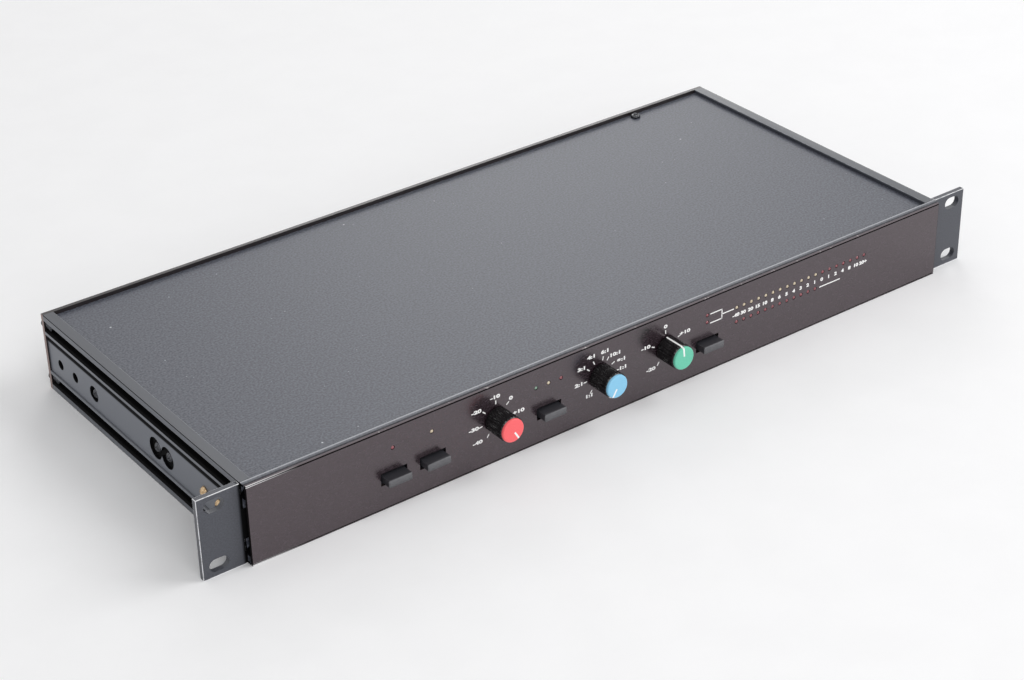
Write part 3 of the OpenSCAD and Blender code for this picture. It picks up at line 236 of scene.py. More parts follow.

# Sheet aluminium with satin grey-black paint: an even fine texture with dust on it. On the plate behind the
# front panel, the top and bottom get a painted highlight at the rear and painted shade at the front, and the
# ends are painted dark as painted shade.
finishes["cover"] = Finish("satin paint on sheet aluminium", "#32353f", "#60636d",
                           (1.1, 1.1, 1.1), (0.40, 0.50), 0.012)
finishes["cover"].specked(4, 0.26, 2.9, "#a2a5ac", 0.8)
finishes["cover"].specked(8, 0.42, 1.7, "#cdd0d5", 0.8)
finishes["cover"].specked(21, 0.62, 4.1, "#e2e3e6", 0.8)
finishes["cover"].faded("Y", 0.7, -0.5, "lip", "#c4c6cb", 0.4)
finishes["cover"].faded("Y", -2.1, -1.0, "lip", "#1d1e22", 0.6)
finishes["cover"].marked("dulled", "#060607", 0.8, 0.05)

# Brushed aluminium, anodised brown-black: short fine strokes lengthwise and a satin shine that shows the
# knobs. A fine groove runs along its long edges, which are sawn dull, and bright at the left end. The
# groove's inside, the strip outside it and the panel's ends are painted near black as painted shade.
finishes["front"] = Finish("brown-black anodised aluminium, brushed", "#1d1317", "#2d232a",
                           (1.6, 0.6, 0.6), (0.2, 0.28), 0.0015, ior=1.9)
finishes["front"].shader.inputs["Specular Tint"].default_value = linear("#fff2f7")
finishes["front"].specked(17, 0.4, 3.3, "#94898a", 0.6)
finishes["front"].marked("dulled", "#050405", 0.8, 0.05)
finishes["front"].marked("sawn", "#3a3438", 0.65)
finishes["front"].patched("sawn", "#b9b5b4", 0.5, 0.0, 0.64)
finishes["front"].faded("X", -214, -190, "worn", "#d4d4d5", 0.3)

# The same metal without the brushing: duller, with rubbed edges and paler sawn ends.
finishes["rear"] = Finish("brown-black anodised aluminium, plain", "#211c1e", "#292325",
                          (20, 0.5, 0.5), (0.30, 0.40), 0.004)
finishes["rear"].patched("worn", "#7d7a78", 0.35, 0.1, 0.55)
finishes["rear"].marked("sawn", "#8a7672", 0.5)

# Zinc-plated sheet steel: bright, slightly cloudy.
finishes["plate"] = Finish("zinc-plated sheet steel", "#a9acb0", "#bfc2c6", (6, 6, 6), (0.28, 0.42), 0.002,
                           metallic=1.0)

# Bent aluminium with satin black paint: bare metal shows as a thin bright line along its edges. The left ear's
# neck is drawn dark, as it looks in shade.
finishes["ear"] = Finish("satin black paint on bent aluminium", "#404249", "#4c4e56",
                         (0.8, 0.8, 0.8), (0.30, 0.42), 0.008)
finishes["ear"].faded("X", -219.2, -220.6, "neck", "#0b0b0c", 0.8, 0.05)
finishes["ear"].patched("worn", "#dcdde0", 0.35, 0.6, 0.42)

# Plated screws: yellow-passivated zinc glints warm, bright zinc cold and black zinc dark. The black heads
# behind the front panel are drawn darker, as they look in shade.
finishes["brass_screw"] = Finish("yellow-passivated zinc on steel", "#a88d6b", "#d0b896",
                                 (0.8, 0.8, 0.8), (0.22, 0.36), 0.002, metallic=1.0)
finishes["steel"] = Finish("bright zinc on steel", "#b6b9bd", "#d2d4d8",
                           (1.2, 1.2, 1.2), (0.20, 0.34), 0.002, metallic=1.0)
finishes["black_screw"] = Finish("black zinc on steel", "#3c3d40", "#5a5b5f",
                                 (0.8, 0.8, 0.8), (0.20, 0.32), 0.002, metallic=1.0)
finishes["black_screw"].faded("Y", 0.5, 4.0, None, "#08080a", 0.8, 0.05)

# Glass-fibre board under green solder mask: the weave shows as a faint grain.
finishes["board"] = Finish("green solder mask on glass-fibre board", "#1d5a31", "#2c7040",
                           (1.2, 1.2, 1.2), (0.25, 0.40), 0.006)

# Moulded plastics: even, with a fine spark-eroded texture, and smooth and shiny on the knobs.
finishes["black_plastic"] = Finish("moulded black nylon", "#19191b", "#222224",
                                   (0.35, 0.35, 0.35), (0.38, 0.55), 0.006)
finishes["knob"] = Finish("moulded black phenolic", "#040405", "#070709",
                          (0.5, 4, 0.5), (0.07, 0.13), 0.001, ior=1.5)
finishes["switch_case"] = Finish("moulded off-white nylon", "#c4c0b4", "#d0ccc0",
                                 (0.5, 0.5, 0.5), (0.40, 0.55), 0.004)

# Push buttons: moulded black ABS, with a painted highlight on their rounded edges and a fainter painted light
# on their fronts.
finishes["button"] = Finish("moulded black ABS", "#2a2a2e", "#333338",
                            (0.35, 0.35, 0.35), (0.34, 0.48), 0.006)
finishes["button"].patched("worn", "#9c9ca0", 0.4, 0.85, 0.4)

# Ribbon of grey PVC: each wire is a soft ridge.
finishes["ribbon"] = Finish("extruded grey PVC ribbon", "#8f949b", "#a9aeb4",
                            (1.27, 40, 40), (0.40, 0.55), 0.100)

# Lamps: tinted cast epoxy, unlit, with a wet shine.
for tint, dark, pale in (
        ("amber", "#c4b398", "#d8cab0"), ("red", "#7c3840", "#9a525a"), ("green", "#5d7d6a", "#86a08f")):
    finishes[f"lens_{tint}"] = Finish(f"{tint}-tinted cast epoxy", dark, pale,
                                      (0.9, 0.9, 0.9), (0.10, 0.20), 0.001, coat=0.5)

# Caps: dyed and moulded ABS, even in colour with a satin sheen.
for dye, dark, pale in (
        ("red", "#fa5f64", "#ff6b6f"), ("blue", "#84c7ea", "#8ecdee"), ("green", "#60c4a6", "#6fceb0")):
    finishes[f"cap_{dye}"] = Finish(f"{dye}-dyed moulded ABS", dark, pale,
                                    (0.5, 0.5, 0.5), (0.32, 0.45), 0.003)

# Transformer: the edges of 0.5 mm varnished plates show as fine lines, and the coil's yellow tape shines.
finishes["core"] = Finish("varnished steel plates", "#4d4a46", "#6d6a65",
                          (60, 0.5, 60), (0.35, 0.55), 0.060)
finishes["winding"] = Finish("polyester tape over copper wire", "#b9873f", "#cf9f52",
                             (8, 8, 3), (0.22, 0.38), 0.020)

# Capacitors: a shiny shrunk sleeve, drawn a little uneven over the can.
finishes["capacitor"] = Finish("shrunk blue PVC sleeve", "#1d2a44", "#28375a",
                               (2, 2, 6), (0.20, 0.34), 0.010)

# Sockets: die-cast zinc under black paint, slightly rough, and silvered contacts that glint.
finishes["socket"] = Finish("black paint on die-cast zinc", "#1d1d20", "#27272a",
                            (0.6, 0.6, 0.6), (0.30, 0.45), 0.008)
finishes["contact"] = Finish("silvered brass", "#c3c1b8", "#dedcd3",
                             (1, 1, 1), (0.15, 0.28), 0.001, metallic=1.0)

# Marks: white screen-printed ink, with a slightly uneven gloss.
ink = Finish("white screen-printed ink", "#f6f6f4", "#ffffff", (0.3, 0.3, 0.3), (0.45, 0.60), 0.002)

for name, node in nodes.items():
    node.data.materials.clear()
    node.data.materials.append(finishes[SLOTS[name]].material)


def seat(obj, name):
    """Puts a piece in the place of a CAD node: same body, and the node hidden."""
    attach(obj, nodes[name]["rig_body"])
    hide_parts(name)


def placed(name, bm, material):
    """Turns a bmesh into an object of the scene with one material."""
    mesh = bpy.data.meshes.new(name)
    bm.to_mesh(mesh)
    bm.free()
    mesh.materials.append(material)
    obj = bpy.data.objects.new(name, mesh)
    scene.collection.objects.link(obj)
    return obj


def merged(name):
    """A copy of a CAD node's mesh as one welded bmesh."""
    bm = bmesh.new()
    bm.from_mesh(nodes[name].data)
    bmesh.ops.remove_doubles(bm, verts=bm.verts, dist=0.002 * MM)
    return bm


SMOOTH_UNDER = math.radians(35)


def smooth_curves(bm):
    """Faces that meet a neighbour at a small angle are shaded smooth, flat ones stay flat."""
    for face in bm.faces:
        bends = [edge.calc_face_angle(0.0) for edge in face.edges if len(edge.link_faces) == 2]
        face.smooth = any(math.radians(0.5) < bend < SMOOTH_UNDER for bend in bends)


def softened(name, cuts, **marks):
    """A CAD node with sharp edges rounded: cuts pairs a width in millimetres with a test of an edge's two
    ends, and each mark gives every face a value that its finish reads."""
    bm = merged(name)
    for label in marks:
        bm.faces.layers.float.new(label)
    bmesh.ops.dissolve_limit(bm, angle_limit=math.radians(0.3), verts=bm.verts, edges=bm.edges)
    smooth_curves(bm)
    rounded = set()
    for width_mm, pick in cuts:
        sharp = [
            edge for edge in bm.edges
            if len(edge.link_faces) == 2 and edge.calc_face_angle(0.0) > SMOOTH_UNDER
            and pick(edge.verts[0].co, edge.verts[1].co)
        ]
        made = bmesh.ops.bevel(bm, geom=sharp, offset=width_mm * MM, offset_type="OFFSET", segments=3,
                               profile=0.5, affect="EDGES", clamp_overlap=False)
        rounded = {face for face in rounded if face.is_valid} | set(made["faces"])
    for face in rounded:
        face.smooth = True
    for edge in bm.edges:
        edge.smooth = edge.calc_face_angle(0.0) < SMOOTH_UNDER
    for label, mark in marks.items():
        layer = bm.faces.layers.float[label]
        for face in bm.faces:
            face[layer] = mark(face, face in rounded)
    bmesh.ops.triangulate(bm, faces=[face for face in bm.faces if len(face.verts) > 4])
    bmesh.ops.dissolve_degenerate(bm, dist=0.001 * MM, edges=bm.edges)
    seat(placed(f"{name}_edged", bm, finishes[SLOTS[name]].material), name)


def near(a, b):
    """Whether two lengths in metres are the same."""
    return abs(a - b) < 0.01 * MM


def within(length, bounds_mm):
    """Whether a length in metres lies between two bounds in millimetres."""
    low, high = bounds_mm
    return low * MM < length < high * MM


# What picks edges and faces out, in millimetres: depths in from the front panel's face or the rail's outer
# side, a drop from the front panel's long edges, heights from the unit's middle, the plain holes' start along
# Y, the least lengths of edges, and how far out of the panel a button's edges and front lie.
EDGE_LINE_DEPTH, EDGE_LINE_DROP = (0.05, 0.5), (0.45, 1.2)
GROOVE_DEPTH, GROOVE_HEIGHT = (0.05, 5.5), (12.4, 18.6)
WEB_RECESS, WEB_DEPTH, WEB_HEIGHT = 0.8, (0.3, 1.2), 10.6
RECESS_DEPTH, RECESS_HEIGHT = (WEB_RECESS, 2.6), 8
PLAIN_HOLES_FROM, PLAIN_HOLE_HEIGHT = 140, 5
LONG_EDGE, BUTTON_EDGE, BUTTON_OUT = 40, 1.5, 1
# A face looks along an axis where its normal has this share along it.
FACING = 0.9


def panel_rim(a, b):
    """The front panel's long edges, and the front edges of its ends."""
    front = near(a.y, PANEL_FACE) and near(b.y, PANEL_FACE)
    level = near(abs(a.z), PANEL_HIGH.z) and near(abs(b.z), PANEL_HIGH.z)
    end = near(abs(a.x), PANEL_HIGH.x) and near(abs(b.x), PANEL_HIGH.x)
    return level and near(a.y, b.y) or front and end


def plate_rim(a, b):
    """The rear edges of the plate behind the front panel, at its top and bottom."""
    level = near(abs(a.z), PLATE_HIGH.z) and near(abs(b.z), PLATE_HIGH.z)
    return level and near(a.y, PLATE_HIGH.y) and near(b.y, PLATE_HIGH.y)


def ear_rim(a, b):
    """The edges of an ear's top, bottom and outer end."""
    level = near(abs(a.z), EAR_HIGH.z) and near(abs(b.z), EAR_HIGH.z)
    end = near(abs(a.x), -EAR_LOW.x) and near(abs(b.x), -EAR_LOW.x)
    return level or end


def rear_rim(a, b):
    """The edges round the rear panel's outer face."""
    back = near(a.y, REAR_HIGH.y) and near(b.y, REAR_HIGH.y)
    level = near(abs(a.z), REAR_HIGH.z) and near(abs(b.z), REAR_HIGH.z)
    end = near(abs(a.x), REAR_HIGH.x) and near(abs(b.x), REAR_HIGH.x)
    return back and (level or end)


def long_edge(a, b):
    """The rail's edges from front to back."""
    return abs(a.y - b.y) > LONG_EDGE * MM


def web_hole(a, b):
    """The outer rim of the plain holes in the rear part of a rail's web."""
    x = -RAIL_LOW.x - WEB_RECESS * MM
    outer = near(abs(a.x), x) and near(abs(b.x), x)
    return outer and abs(a.z) < PLAIN_HOLE_HEIGHT * MM and min(a.y, b.y) > PLAIN_HOLES_FROM * MM


def button_edge(a, b):
    """A button's edges outside the panel."""
    return max(a.y, b.y) < PANEL_FACE - BUTTON_OUT * MM and (a - b).length > BUTTON_EDGE * MM


def every_face(face, rounded):
    """The whole piece."""
    return 1.0


def all_rounded(face, rounded):
    """The piece's rounded edges."""
    return 1.0 if rounded else 0.0


def edge_groove(face, rounded):
    """The fine groove along the front panel's long edges, the strip outside it, and the panel's ends."""
    middle = face.calc_center_median()
    depth, drop = middle.y - PANEL_FACE, PANEL_HIGH.z - abs(middle.z)
    inside = within(depth, EDGE_LINE_DEPTH) and within(drop, EDGE_LINE_DROP)
    strip = face.normal.y < -FACING and drop < 0.6 * MM
    end = abs(middle.x) > PANEL_HIGH.x - 0.5 * MM
    return 1.0 if inside or strip or end else 0.0


def long_side(face, rounded):
    """The front panel's top and bottom edges."""
    return 1.0 if PANEL_HIGH.z - abs(face.calc_center_median().z) < 0.24 * MM else 0.0


def long_corner(face, rounded):
    """The rounded front corners of those edges."""
    return 1.0 if rounded and face.normal.y < 0 and abs(face.normal.z) > 0.2 else 0.0


def plate_end(face, rounded):
    """The ends of the plate behind the front panel."""
    return 1.0 if abs(face.calc_center_median().x) > PLATE_HIGH.x - 0.5 * MM else 0.0


def rear_end(face, rounded):
    """The ends of the rear panel."""
    return 1.0 if abs(face.calc_center_median().x) > REAR_HIGH.x - 0.05 * MM else 0.0


def lip_top(face, rounded):
    """The top and bottom faces of the plate behind the front panel."""
    outer = abs(face.calc_center_median().z) > PLATE_HIGH.z - 0.1 * MM
    return 1.0 if outer and abs(face.normal.z) > FACING else 0.0


def rail_place(face):
    """A face's depth in from the rail's outer side, its height from the middle, and its place along Y."""
    middle = face.calc_center_median()
    return -RAIL_LOW.x - abs(middle.x), abs(middle.z), middle.y


def corner_out(face, rounded):
    """The rail's long outer corners, its front end, and the insides of its grooves, holes and recesses."""
    inset, height, along = rail_place(face)
    corner = rounded and inset < 1 * MM and height > RAIL_HIGH.z - 1 * MM
    groove = within(inset, GROOVE_DEPTH) and within(height, GROOVE_HEIGHT)
    hole = within(inset, RECESS_DEPTH) and height < RECESS_HEIGHT * MM
    hole = hole and (rounded or inset > (WEB_RECESS + 0.1) * MM)
    front = along < RAIL_LOW.y + 0.1 * MM
    return 1.0 if corner or groove or hole or front else 0.0


def web_outside(face, rounded):
    """The outer face of the rail's web."""
    inset, height, _ = rail_place(face)
    web = within(inset, WEB_DEPTH) and height < WEB_HEIGHT * MM
    return 1.0 if web and abs(face.normal.x) > FACING else 0.0


def rail_outside(face, rounded):
    """Painted light: the web, the ridges beside it and, less, the rail's outer faces above and below."""
    inset, height, _ = rail_place(face)
    if inset > WEB_DEPTH[1] * MM or rounded:
        return 0.0
    return 1.0 if height < GROOVE_HEIGHT[0] * MM else 0.5 if abs(face.normal.x) > FACING else 0.0


def corner_in(face, rounded):
    """The rail's long corners beside the covers, which get a painted highlight."""
    inset, height, _ = rail_place(face)
    inner = inset > 4 * MM and height > RAIL_HIGH.z - 1 * MM
    return 1.0 if rounded and inner else 0.0


def finger_worn(face, rounded):
    """A button's painted highlight on its rounded edges, and fainter painted light on its front."""
    middle = face.calc_center_median()
    front = face.normal.y < -FACING and middle.y < PANEL_FACE - BUTTON_OUT * MM
    return 0.4 if rounded else 0.26 if front else 0.0


# The front panel: painted shade in its edge groove, on the strip outside it and on its ends.
softened("front_panel", [(0.25, panel_rim)], sawn=long_side, worn=long_corner, dulled=edge_groove)
# The plate behind the front panel: painted highlight and painted shade on its top and bottom, painted shade on
# its ends.
softened("front_subpanel", [(0.3, plate_rim)], lip=lip_top, dulled=plate_end)
softened("left_ear", [(0.3, ear_rim)], worn=all_rounded, neck=every_face)
softened("right_ear", [(0.3, ear_rim)], worn=all_rounded)
# Rails: painted light on the outside, a painted highlight on the corner beside the covers, and painted shade
# in the outer corners, front end, grooves, holes and the strip of web under the ridge.
for rail in ("left_rail", "right_rail"):
    softened(rail, [(0.25, long_edge), (0.5, web_hole)],
             paler=rail_outside, shaded=web_outside, dulled=corner_out, worn=corner_in)
softened("rear_panel", [(0.3, rear_rim)], worn=all_rounded, sawn=rear_end)
# Buttons: a painted highlight on the edges and fainter painted light on the fronts.
for button in ("bypass_button", "link_button", "knee_button", "meter_button"):
    softened(button, [(0.5, button_edge)], worn=finger_worn)


def geometry_tree(name, sizes):
    """An empty geometry tree with these named inputs, and its input and output nodes."""
    tree = bpy.data.node_groups.new(name, "GeometryNodeTree")
    tree.interface.new_socket("Geometry", in_out="INPUT", socket_type="NodeSocketGeometry")
    for label, kind in sizes.items():
        tree.interface.new_socket(label, in_out="INPUT", socket_type=kind)
    tree.interface.new_socket("Geometry", in_out="OUTPUT", socket_type="NodeSocketGeometry")
    return tree, tree.nodes.new("NodeGroupInput").outputs, tree.nodes.new("NodeGroupOutput")


def grown(name, mesh, tree, values):
    """Runs a geometry tree over a mesh and returns the result as one plain mesh object."""
    obj = bpy.data.objects.new(name, mesh)
    scene.collection.objects.link(obj)
    modifier = obj.modifiers.new(tree.name, "NODES")
    modifier.node_group = tree
    for item in tree.interface.items_tree:
        if item.in_out == "INPUT" and item.name in values:
            modifier[item.identifier] = values[item.name]
    depsgraph = bpy.context.evaluated_depsgraph_get()
    result = bpy.data.meshes.new_from_object(obj.evaluated_get(depsgraph), depsgraph=depsgraph)
    obj.modifiers.remove(modifier)
    obj.data = result
    result.name = name
    return obj


def points(name, places, **attributes):
    """A mesh of loose points with named attributes, one value or vector for each point."""
    mesh = bpy.data.meshes.new(name)
    mesh.from_pydata(places, [], [])
    for label, values in attributes.items():
        if isinstance(values[0], (int, float)):
            mesh.attributes.new(label, "FLOAT", "POINT").data.foreach_set("value", values)
        else:
            flat = [part for value in values for part in value]
            mesh.attributes.new(label, "FLOAT_VECTOR", "POINT").data.foreach_set("vector", flat)
    return mesh


# Cross recesses: a cross is cut into each screw head, at its own turn.
recess, given, result = geometry_tree("cross recess", {
    "Heads": "NodeSocketObject", "Length": "NodeSocketFloat", "Width": "NodeSocketFloat",
    "Depth": "NodeSocketFloat", "Metal": "NodeSocketMaterial"})
twice = add(recess, "ShaderNodeMath", {0: given["Depth"], 1: 2.0}, operation="MULTIPLY").outputs["Value"]
along = add(recess, "ShaderNodeCombineXYZ", {"X": given["Length"], "Y": given["Width"], "Z": twice})
across = add(recess, "ShaderNodeCombineXYZ", {"X": given["Width"], "Y": given["Length"], "Z": twice})
bar_a = add(recess, "GeometryNodeMeshCube", {"Size": along.outputs["Vector"]})
bar_b = add(recess, "GeometryNodeMeshCube", {"Size": across.outputs["Vector"]})
cross = add(recess, "GeometryNodeMeshBoolean", operation="UNION", solver="EXACT")
recess.links.new(bar_a.outputs["Mesh"], cross.inputs["Mesh 2"])
recess.links.new(bar_b.outputs["Mesh"], cross.inputs["Mesh 2"])
heads = add(recess, "GeometryNodeObjectInfo", {"Object": given["Heads"]}, transform_space="ORIGINAL")
facing = add(recess, "GeometryNodeInputNamedAttribute", {"Name": "facing"}, data_type="FLOAT_VECTOR")
spin = add(recess, "GeometryNodeInputNamedAttribute", {"Name": "spin"}, data_type="FLOAT")
upright = add(recess, "FunctionNodeAlignRotationToVector", {
    "Vector": facing.outputs["Attribute"]}, axis="Z")
turned = add(recess, "FunctionNodeRotateRotation", {
    "Rotation": upright.outputs["Rotation"]}, rotation_space="LOCAL")
spun = add(recess, "ShaderNodeCombineXYZ", {"Z": spin.outputs["Attribute"]})
recess.links.new(spun.outputs["Vector"], turned.inputs["Rotate By"])
cutters = add(recess, "GeometryNodeInstanceOnPoints", {
    "Points": heads.outputs["Geometry"], "Instance": cross.outputs["Mesh"],
    "Rotation": turned.outputs["Rotation"]})
solid = add(recess, "GeometryNodeRealizeInstances", {"Geometry": cutters.outputs["Instances"]})
driven = add(recess, "GeometryNodeMeshBoolean", {
    "Mesh 1": given["Geometry"], "Mesh 2": solid.outputs["Geometry"]},
    operation="DIFFERENCE", solver="EXACT")
metal = add(recess, "GeometryNodeSetMaterial", {
    "Geometry": driven.outputs["Mesh"], "Material": given["Metal"]})
recess.links.new(metal.outputs["Geometry"], result.inputs["Geometry"])


def islands(bm):
    """The separate solids of a bmesh, each as a list of its points."""
    left = set(bm.verts)
    while left:
        group, front = set(), [left.pop()]
        while front:
            vert = front.pop()
            group.add(vert)
            for edge in vert.link_edges:
                other = edge.other_vert(vert)
                if other in left:
                    left.discard(other)
                    front.append(other)
        yield [vert.co.copy() for vert in group]


# A head faces a way if its top is within HEAD_LEVEL of the furthest one. Each recess is turned by HEAD_TURN
# radians more than the last.
HEAD_LEVEL = 1.0 * MM
HEAD_TURN = 1.9
# From the middle of its seat, a head lies within HEAD_REACH and its screw within SCREW_REACH. What is deeper
# than TIP_FROM is the screw's tip.
HEAD_REACH, SCREW_REACH, TIP_FROM = 6.0 * MM, 16.0 * MM, 4.0 * MM
# The cross recess, in millimetres.
CROSS_LENGTH, CROSS_WIDTH, CROSS_DEPTH, DEEP_CROSS = 3.2, 0.8, 1.0, 1.3


def head_tops(bm, way):
    """The middle of the top of each head that faces this way."""
    solids = list(islands(bm))
    furthest = max(co.dot(way) for solid in solids for co in solid)
    for solid in solids:
        top = max(co.dot(way) for co in solid)
        if furthest - top < HEAD_LEVEL:
            low = Vector([min(co[i] for co in solid) for i in range(3)])
            high = Vector([max(co[i] for co in solid) for i in range(3)])
            middle = (low + high) / 2
            yield middle + way * (top - middle.dot(way))


def small_screws(bm, tops, height_mm, share, shorter_mm):
    """Draws each head of this height in to a share of its size, and shortens its screw."""
    drawn = []
    for top, way in tops:
        seat_middle = top - way * height_mm * MM
        for vert in bm.verts:
            reach = vert.co - seat_middle
            if reach.length < HEAD_REACH and reach.dot(way) > -0.01 * MM:
                vert.co = seat_middle + reach * share
            elif reach.length < SCREW_REACH and reach.dot(way) < -TIP_FROM:
                vert.co = vert.co + way * shorter_mm * MM
        drawn.append((seat_middle + way * height_mm * share * MM, way))
    return drawn


def driven_screws(name, ways, depth_mm=CROSS_DEPTH, height_mm=0.0, share=1.0, shorter_mm=0.0):
    """A CAD node of screws with a cross recess in each head that faces one of these ways; a share under 1 also
    makes the screws smaller."""
    bm = merged(name)
    tops = [(top, way) for way in ways for top in sorted(head_tops(bm, way), key=tuple)]
    if share < 1.0:
        tops = small_screws(bm, tops, height_mm, share, shorter_mm)
    smooth_curves(bm)
    mesh = bpy.data.meshes.new(f"{name}_whole")
    bm.to_mesh(mesh)
    bm.free()
    places = bpy.data.objects.new(f"{name}_heads", points(
        f"{name}_heads", [top for top, _ in tops], facing=[way for _, way in tops],
        spin=[HEAD_TURN * (i + 1) for i in range(len(tops))]))
    scene.collection.objects.link(places)
    obj = grown(f"{name}_driven", mesh, recess, {
        "Heads": places, "Length": CROSS_LENGTH * MM, "Width": CROSS_WIDTH * MM, "Depth": depth_mm * MM,
        "Metal": finishes[SLOTS[name]].material})
    bpy.data.objects.remove(places)
    obj.data.set_sharp_from_angle(angle=SMOOTH_UNDER)
    seat(obj, name)


LEFT, RIGHT = Vector((-1, 0, 0)), Vector((1, 0, 0))
BACKWARD, UPWARD, DOWNWARD = Vector((0, 1, 0)), Vector((0, 0, 1)), Vector((0, 0, -1))
driven_screws("ear_screws", (LEFT, RIGHT), DEEP_CROSS)
driven_screws("rail_web_screws", (LEFT,))
driven_screws("rail_end_screws", (BACKWARD,), height_mm=2.2, share=0.75, shorter_mm=5.5)
driven_screws("cover_screw", (UPWARD,))
driven_screws("rear_screws", (BACKWARD,))
driven_screws("chassis_screws", (DOWNWARD,))

# Ink strokes: ticks and lines, each a thin bar in the panel's face with its own length and turn.
strokes, given, result = geometry_tree("ink strokes", {
    "Width": "NodeSocketFloat", "Depth": "NodeSocketFloat", "Ink": "NodeSocketMaterial"})
section = add(strokes, "ShaderNodeCombineXYZ", {"X": given["Width"], "Y": given["Depth"], "Z": 1.0})
bar = add(strokes, "GeometryNodeMeshCube", {"Size": section.outputs["Vector"]})
turn = add(strokes, "GeometryNodeInputNamedAttribute", {"Name": "turn"}, data_type="FLOAT")
reach = add(strokes, "GeometryNodeInputNamedAttribute", {"Name": "reach"}, data_type="FLOAT")
angles = add(strokes, "ShaderNodeCombineXYZ", {"Y": turn.outputs["Attribute"]})
scales = add(strokes, "ShaderNodeCombineXYZ", {"X": 1.0, "Y": 1.0, "Z": reach.outputs["Attribute"]})
bars = add(strokes, "GeometryNodeInstanceOnPoints", {
    "Points": given["Geometry"], "Instance": bar.outputs["Mesh"], "Rotation": angles.outputs["Vector"],
    "Scale": scales.outputs["Vector"]})
solid = add(strokes, "GeometryNodeRealizeInstances", {"Geometry": bars.outputs["Instances"]})
inked = add(strokes, "GeometryNodeSetMaterial", {
    "Geometry": solid.outputs["Geometry"], "Material": given["Ink"]})
strokes.links.new(inked.outputs["Geometry"], result.inputs["Geometry"])

# Sizes of the marks, in millimetres; ticks run from TICK_IN to TICK_OUT from the dial's middle.
INK_DEPTH, STROKE_WIDTH = 0.06, 0.6
TICK_IN, TICK_OUT = 8.2, 10.3
# For each dial: the tick's angle clockwise from the top, and its number with its place from the dial's middle.
# A ratio of infinity has no number: its sign is printed as an 8 on its side.
SCALES = {
    "threshold": (
        (-147, "-40", -11.2, -9.3), (-98, "-30", -13.2, -1.2), (-49, "-20", -11.4, 8.0),
        (0, "-10", -0.3, 12.2), (49, "0", 9.0, 8.2), (98, "+10", 13.4, -1.1), (147, "+20", 11.2, -9.3)),
    "ratio": (
        (-143, "1:1", -6.7, -9.3), (-94, "2:1", -13.4, -0.7), (-52, "3:1", -11.6, 7.8),
        (-24, "4:1", -5.6, 12.4), (12, "6:1", 3.0, 12.5), (33, "10:1", 9.7, 8.7), (64, None, 11.9, 4.1),
        (95, "-1:1", 13.6, -0.9)),
    "gain": (
        (-145, "-20", -9.9, -9.2), (-69, "-10", -13.4, 4.6), (-4, "0", -0.7, 12.3), (66, "+10", 12.2, 4.6),
        (140, "+20", 9.9, -9.2)),
}
LEVEL_NUMBERS = (
    "-40", "30", "20", "15", "10", "8", "6", "5", "4", "3", "2", "1", "0", "1", "2", "4", "8", "10", "20+")
# The numbers over the row of lamps: the first one's place, their pitch and their height.
LEVEL_FIRST, LEVEL_PITCH, LEVEL_NUMBER_Z = 72.2, 5.0, 4.6
# Lines on the panel: two ends across and up, in millimetres.
LINES = (
    (54.6, 11.6, 62.7, 11.6), (54.6, 6.3, 62.7, 6.3), (62.5, 6.1, 62.5, 11.8), (62.5, 8.8, 70.6, 8.8),
    (130.7, 0.4, 145.6, 0.4))

stroke_places, stroke_turns, stroke_reaches = [], [], []
for dial, marks in SCALES.items():
    middle = DIALS[dial]
    for angle, *_ in marks:
        way = Vector((math.sin(math.radians(angle)), 0, math.cos(math.radians(angle))))
        spot = middle + way * (TICK_IN + TICK_OUT) / 2 * MM
        stroke_places.append((spot.x, PANEL_FACE, spot.z))
        stroke_turns.append(math.radians(angle))
        stroke_reaches.append((TICK_OUT - TICK_IN) * MM)
for x0, z0, x1, z1 in LINES:
    stroke_places.append(((x0 + x1) / 2 * MM, PANEL_FACE, (z0 + z1) / 2 * MM))
    stroke_turns.append(math.atan2(x1 - x0, z1 - z0))
    stroke_reaches.append(math.hypot(x1 - x0, z1 - z0) * MM)
stroke_points = points("scale_lines", stroke_places, turn=stroke_turns, reach=stroke_reaches)
scale_lines = grown("scale_lines", stroke_points, strokes, {
    "Width": STROKE_WIDTH * MM, "Depth": INK_DEPTH * MM, "Ink": ink.material})
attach(scale_lines, "chassis")

# The numbers' height in millimetres, how much bolder and wider they are than the plain font, and the places of
# the sign of infinity and of the rest of its ratio.
NUMBER_HEIGHT, NUMBER_BOLD = 2.1, 0.05
NUMBER_WIDEN, LEVEL_WIDEN, SIGN_WIDEN = 1.68, 1.35, 1.1
SIGN_SHIFT, SIGN_REST = 0.2, 2.8


def number_mesh(text):
    """A printed number as a thin closed solid, made a mesh before it is placed."""
    curve = bpy.data.curves.new("number", "FONT")
    curve.body = text
    curve.align_x, curve.align_y = "CENTER", "CENTER"
    curve.resolution_u = 3
    curve.size = 1.0
    curve.offset = NUMBER_BOLD
    curve.extrude = 0.5
    holder = bpy.data.objects.new("number", curve)
    scene.collection.objects.link(holder)
    depsgraph = bpy.context.evaluated_depsgraph_get()
    mesh = bpy.data.meshes.new_from_object(holder.evaluated_get(depsgraph), depsgraph=depsgraph)
    bpy.data.objects.remove(holder)
    return mesh


digit_levels = [v.co.y for v in number_mesh("0").vertices]
DIGIT_TALL = max(digit_levels) - min(digit_levels)


def print_number(bm, text, x, z, turn=0.0, widen=NUMBER_WIDEN):
    """Adds a number to the panel's marks, its middle at x, z in metres."""
    size = NUMBER_HEIGHT * MM / DIGIT_TALL
    mesh = number_mesh(text)
    xs = [v.co.x for v in mesh.vertices]
    mesh.transform(Matrix.Translation((-(min(xs) + max(xs)) / 2, 0, 0)))
    mesh.transform(Matrix.Rotation(turn, 4, "Z"))
    mesh.transform(Matrix.Diagonal((size * widen, size, INK_DEPTH * MM, 1)))
    mesh.transform(Matrix.Translation((x, PANEL_FACE, z)) @ Matrix.Rotation(math.pi / 2, 4, "X"))
    bm.from_mesh(mesh)


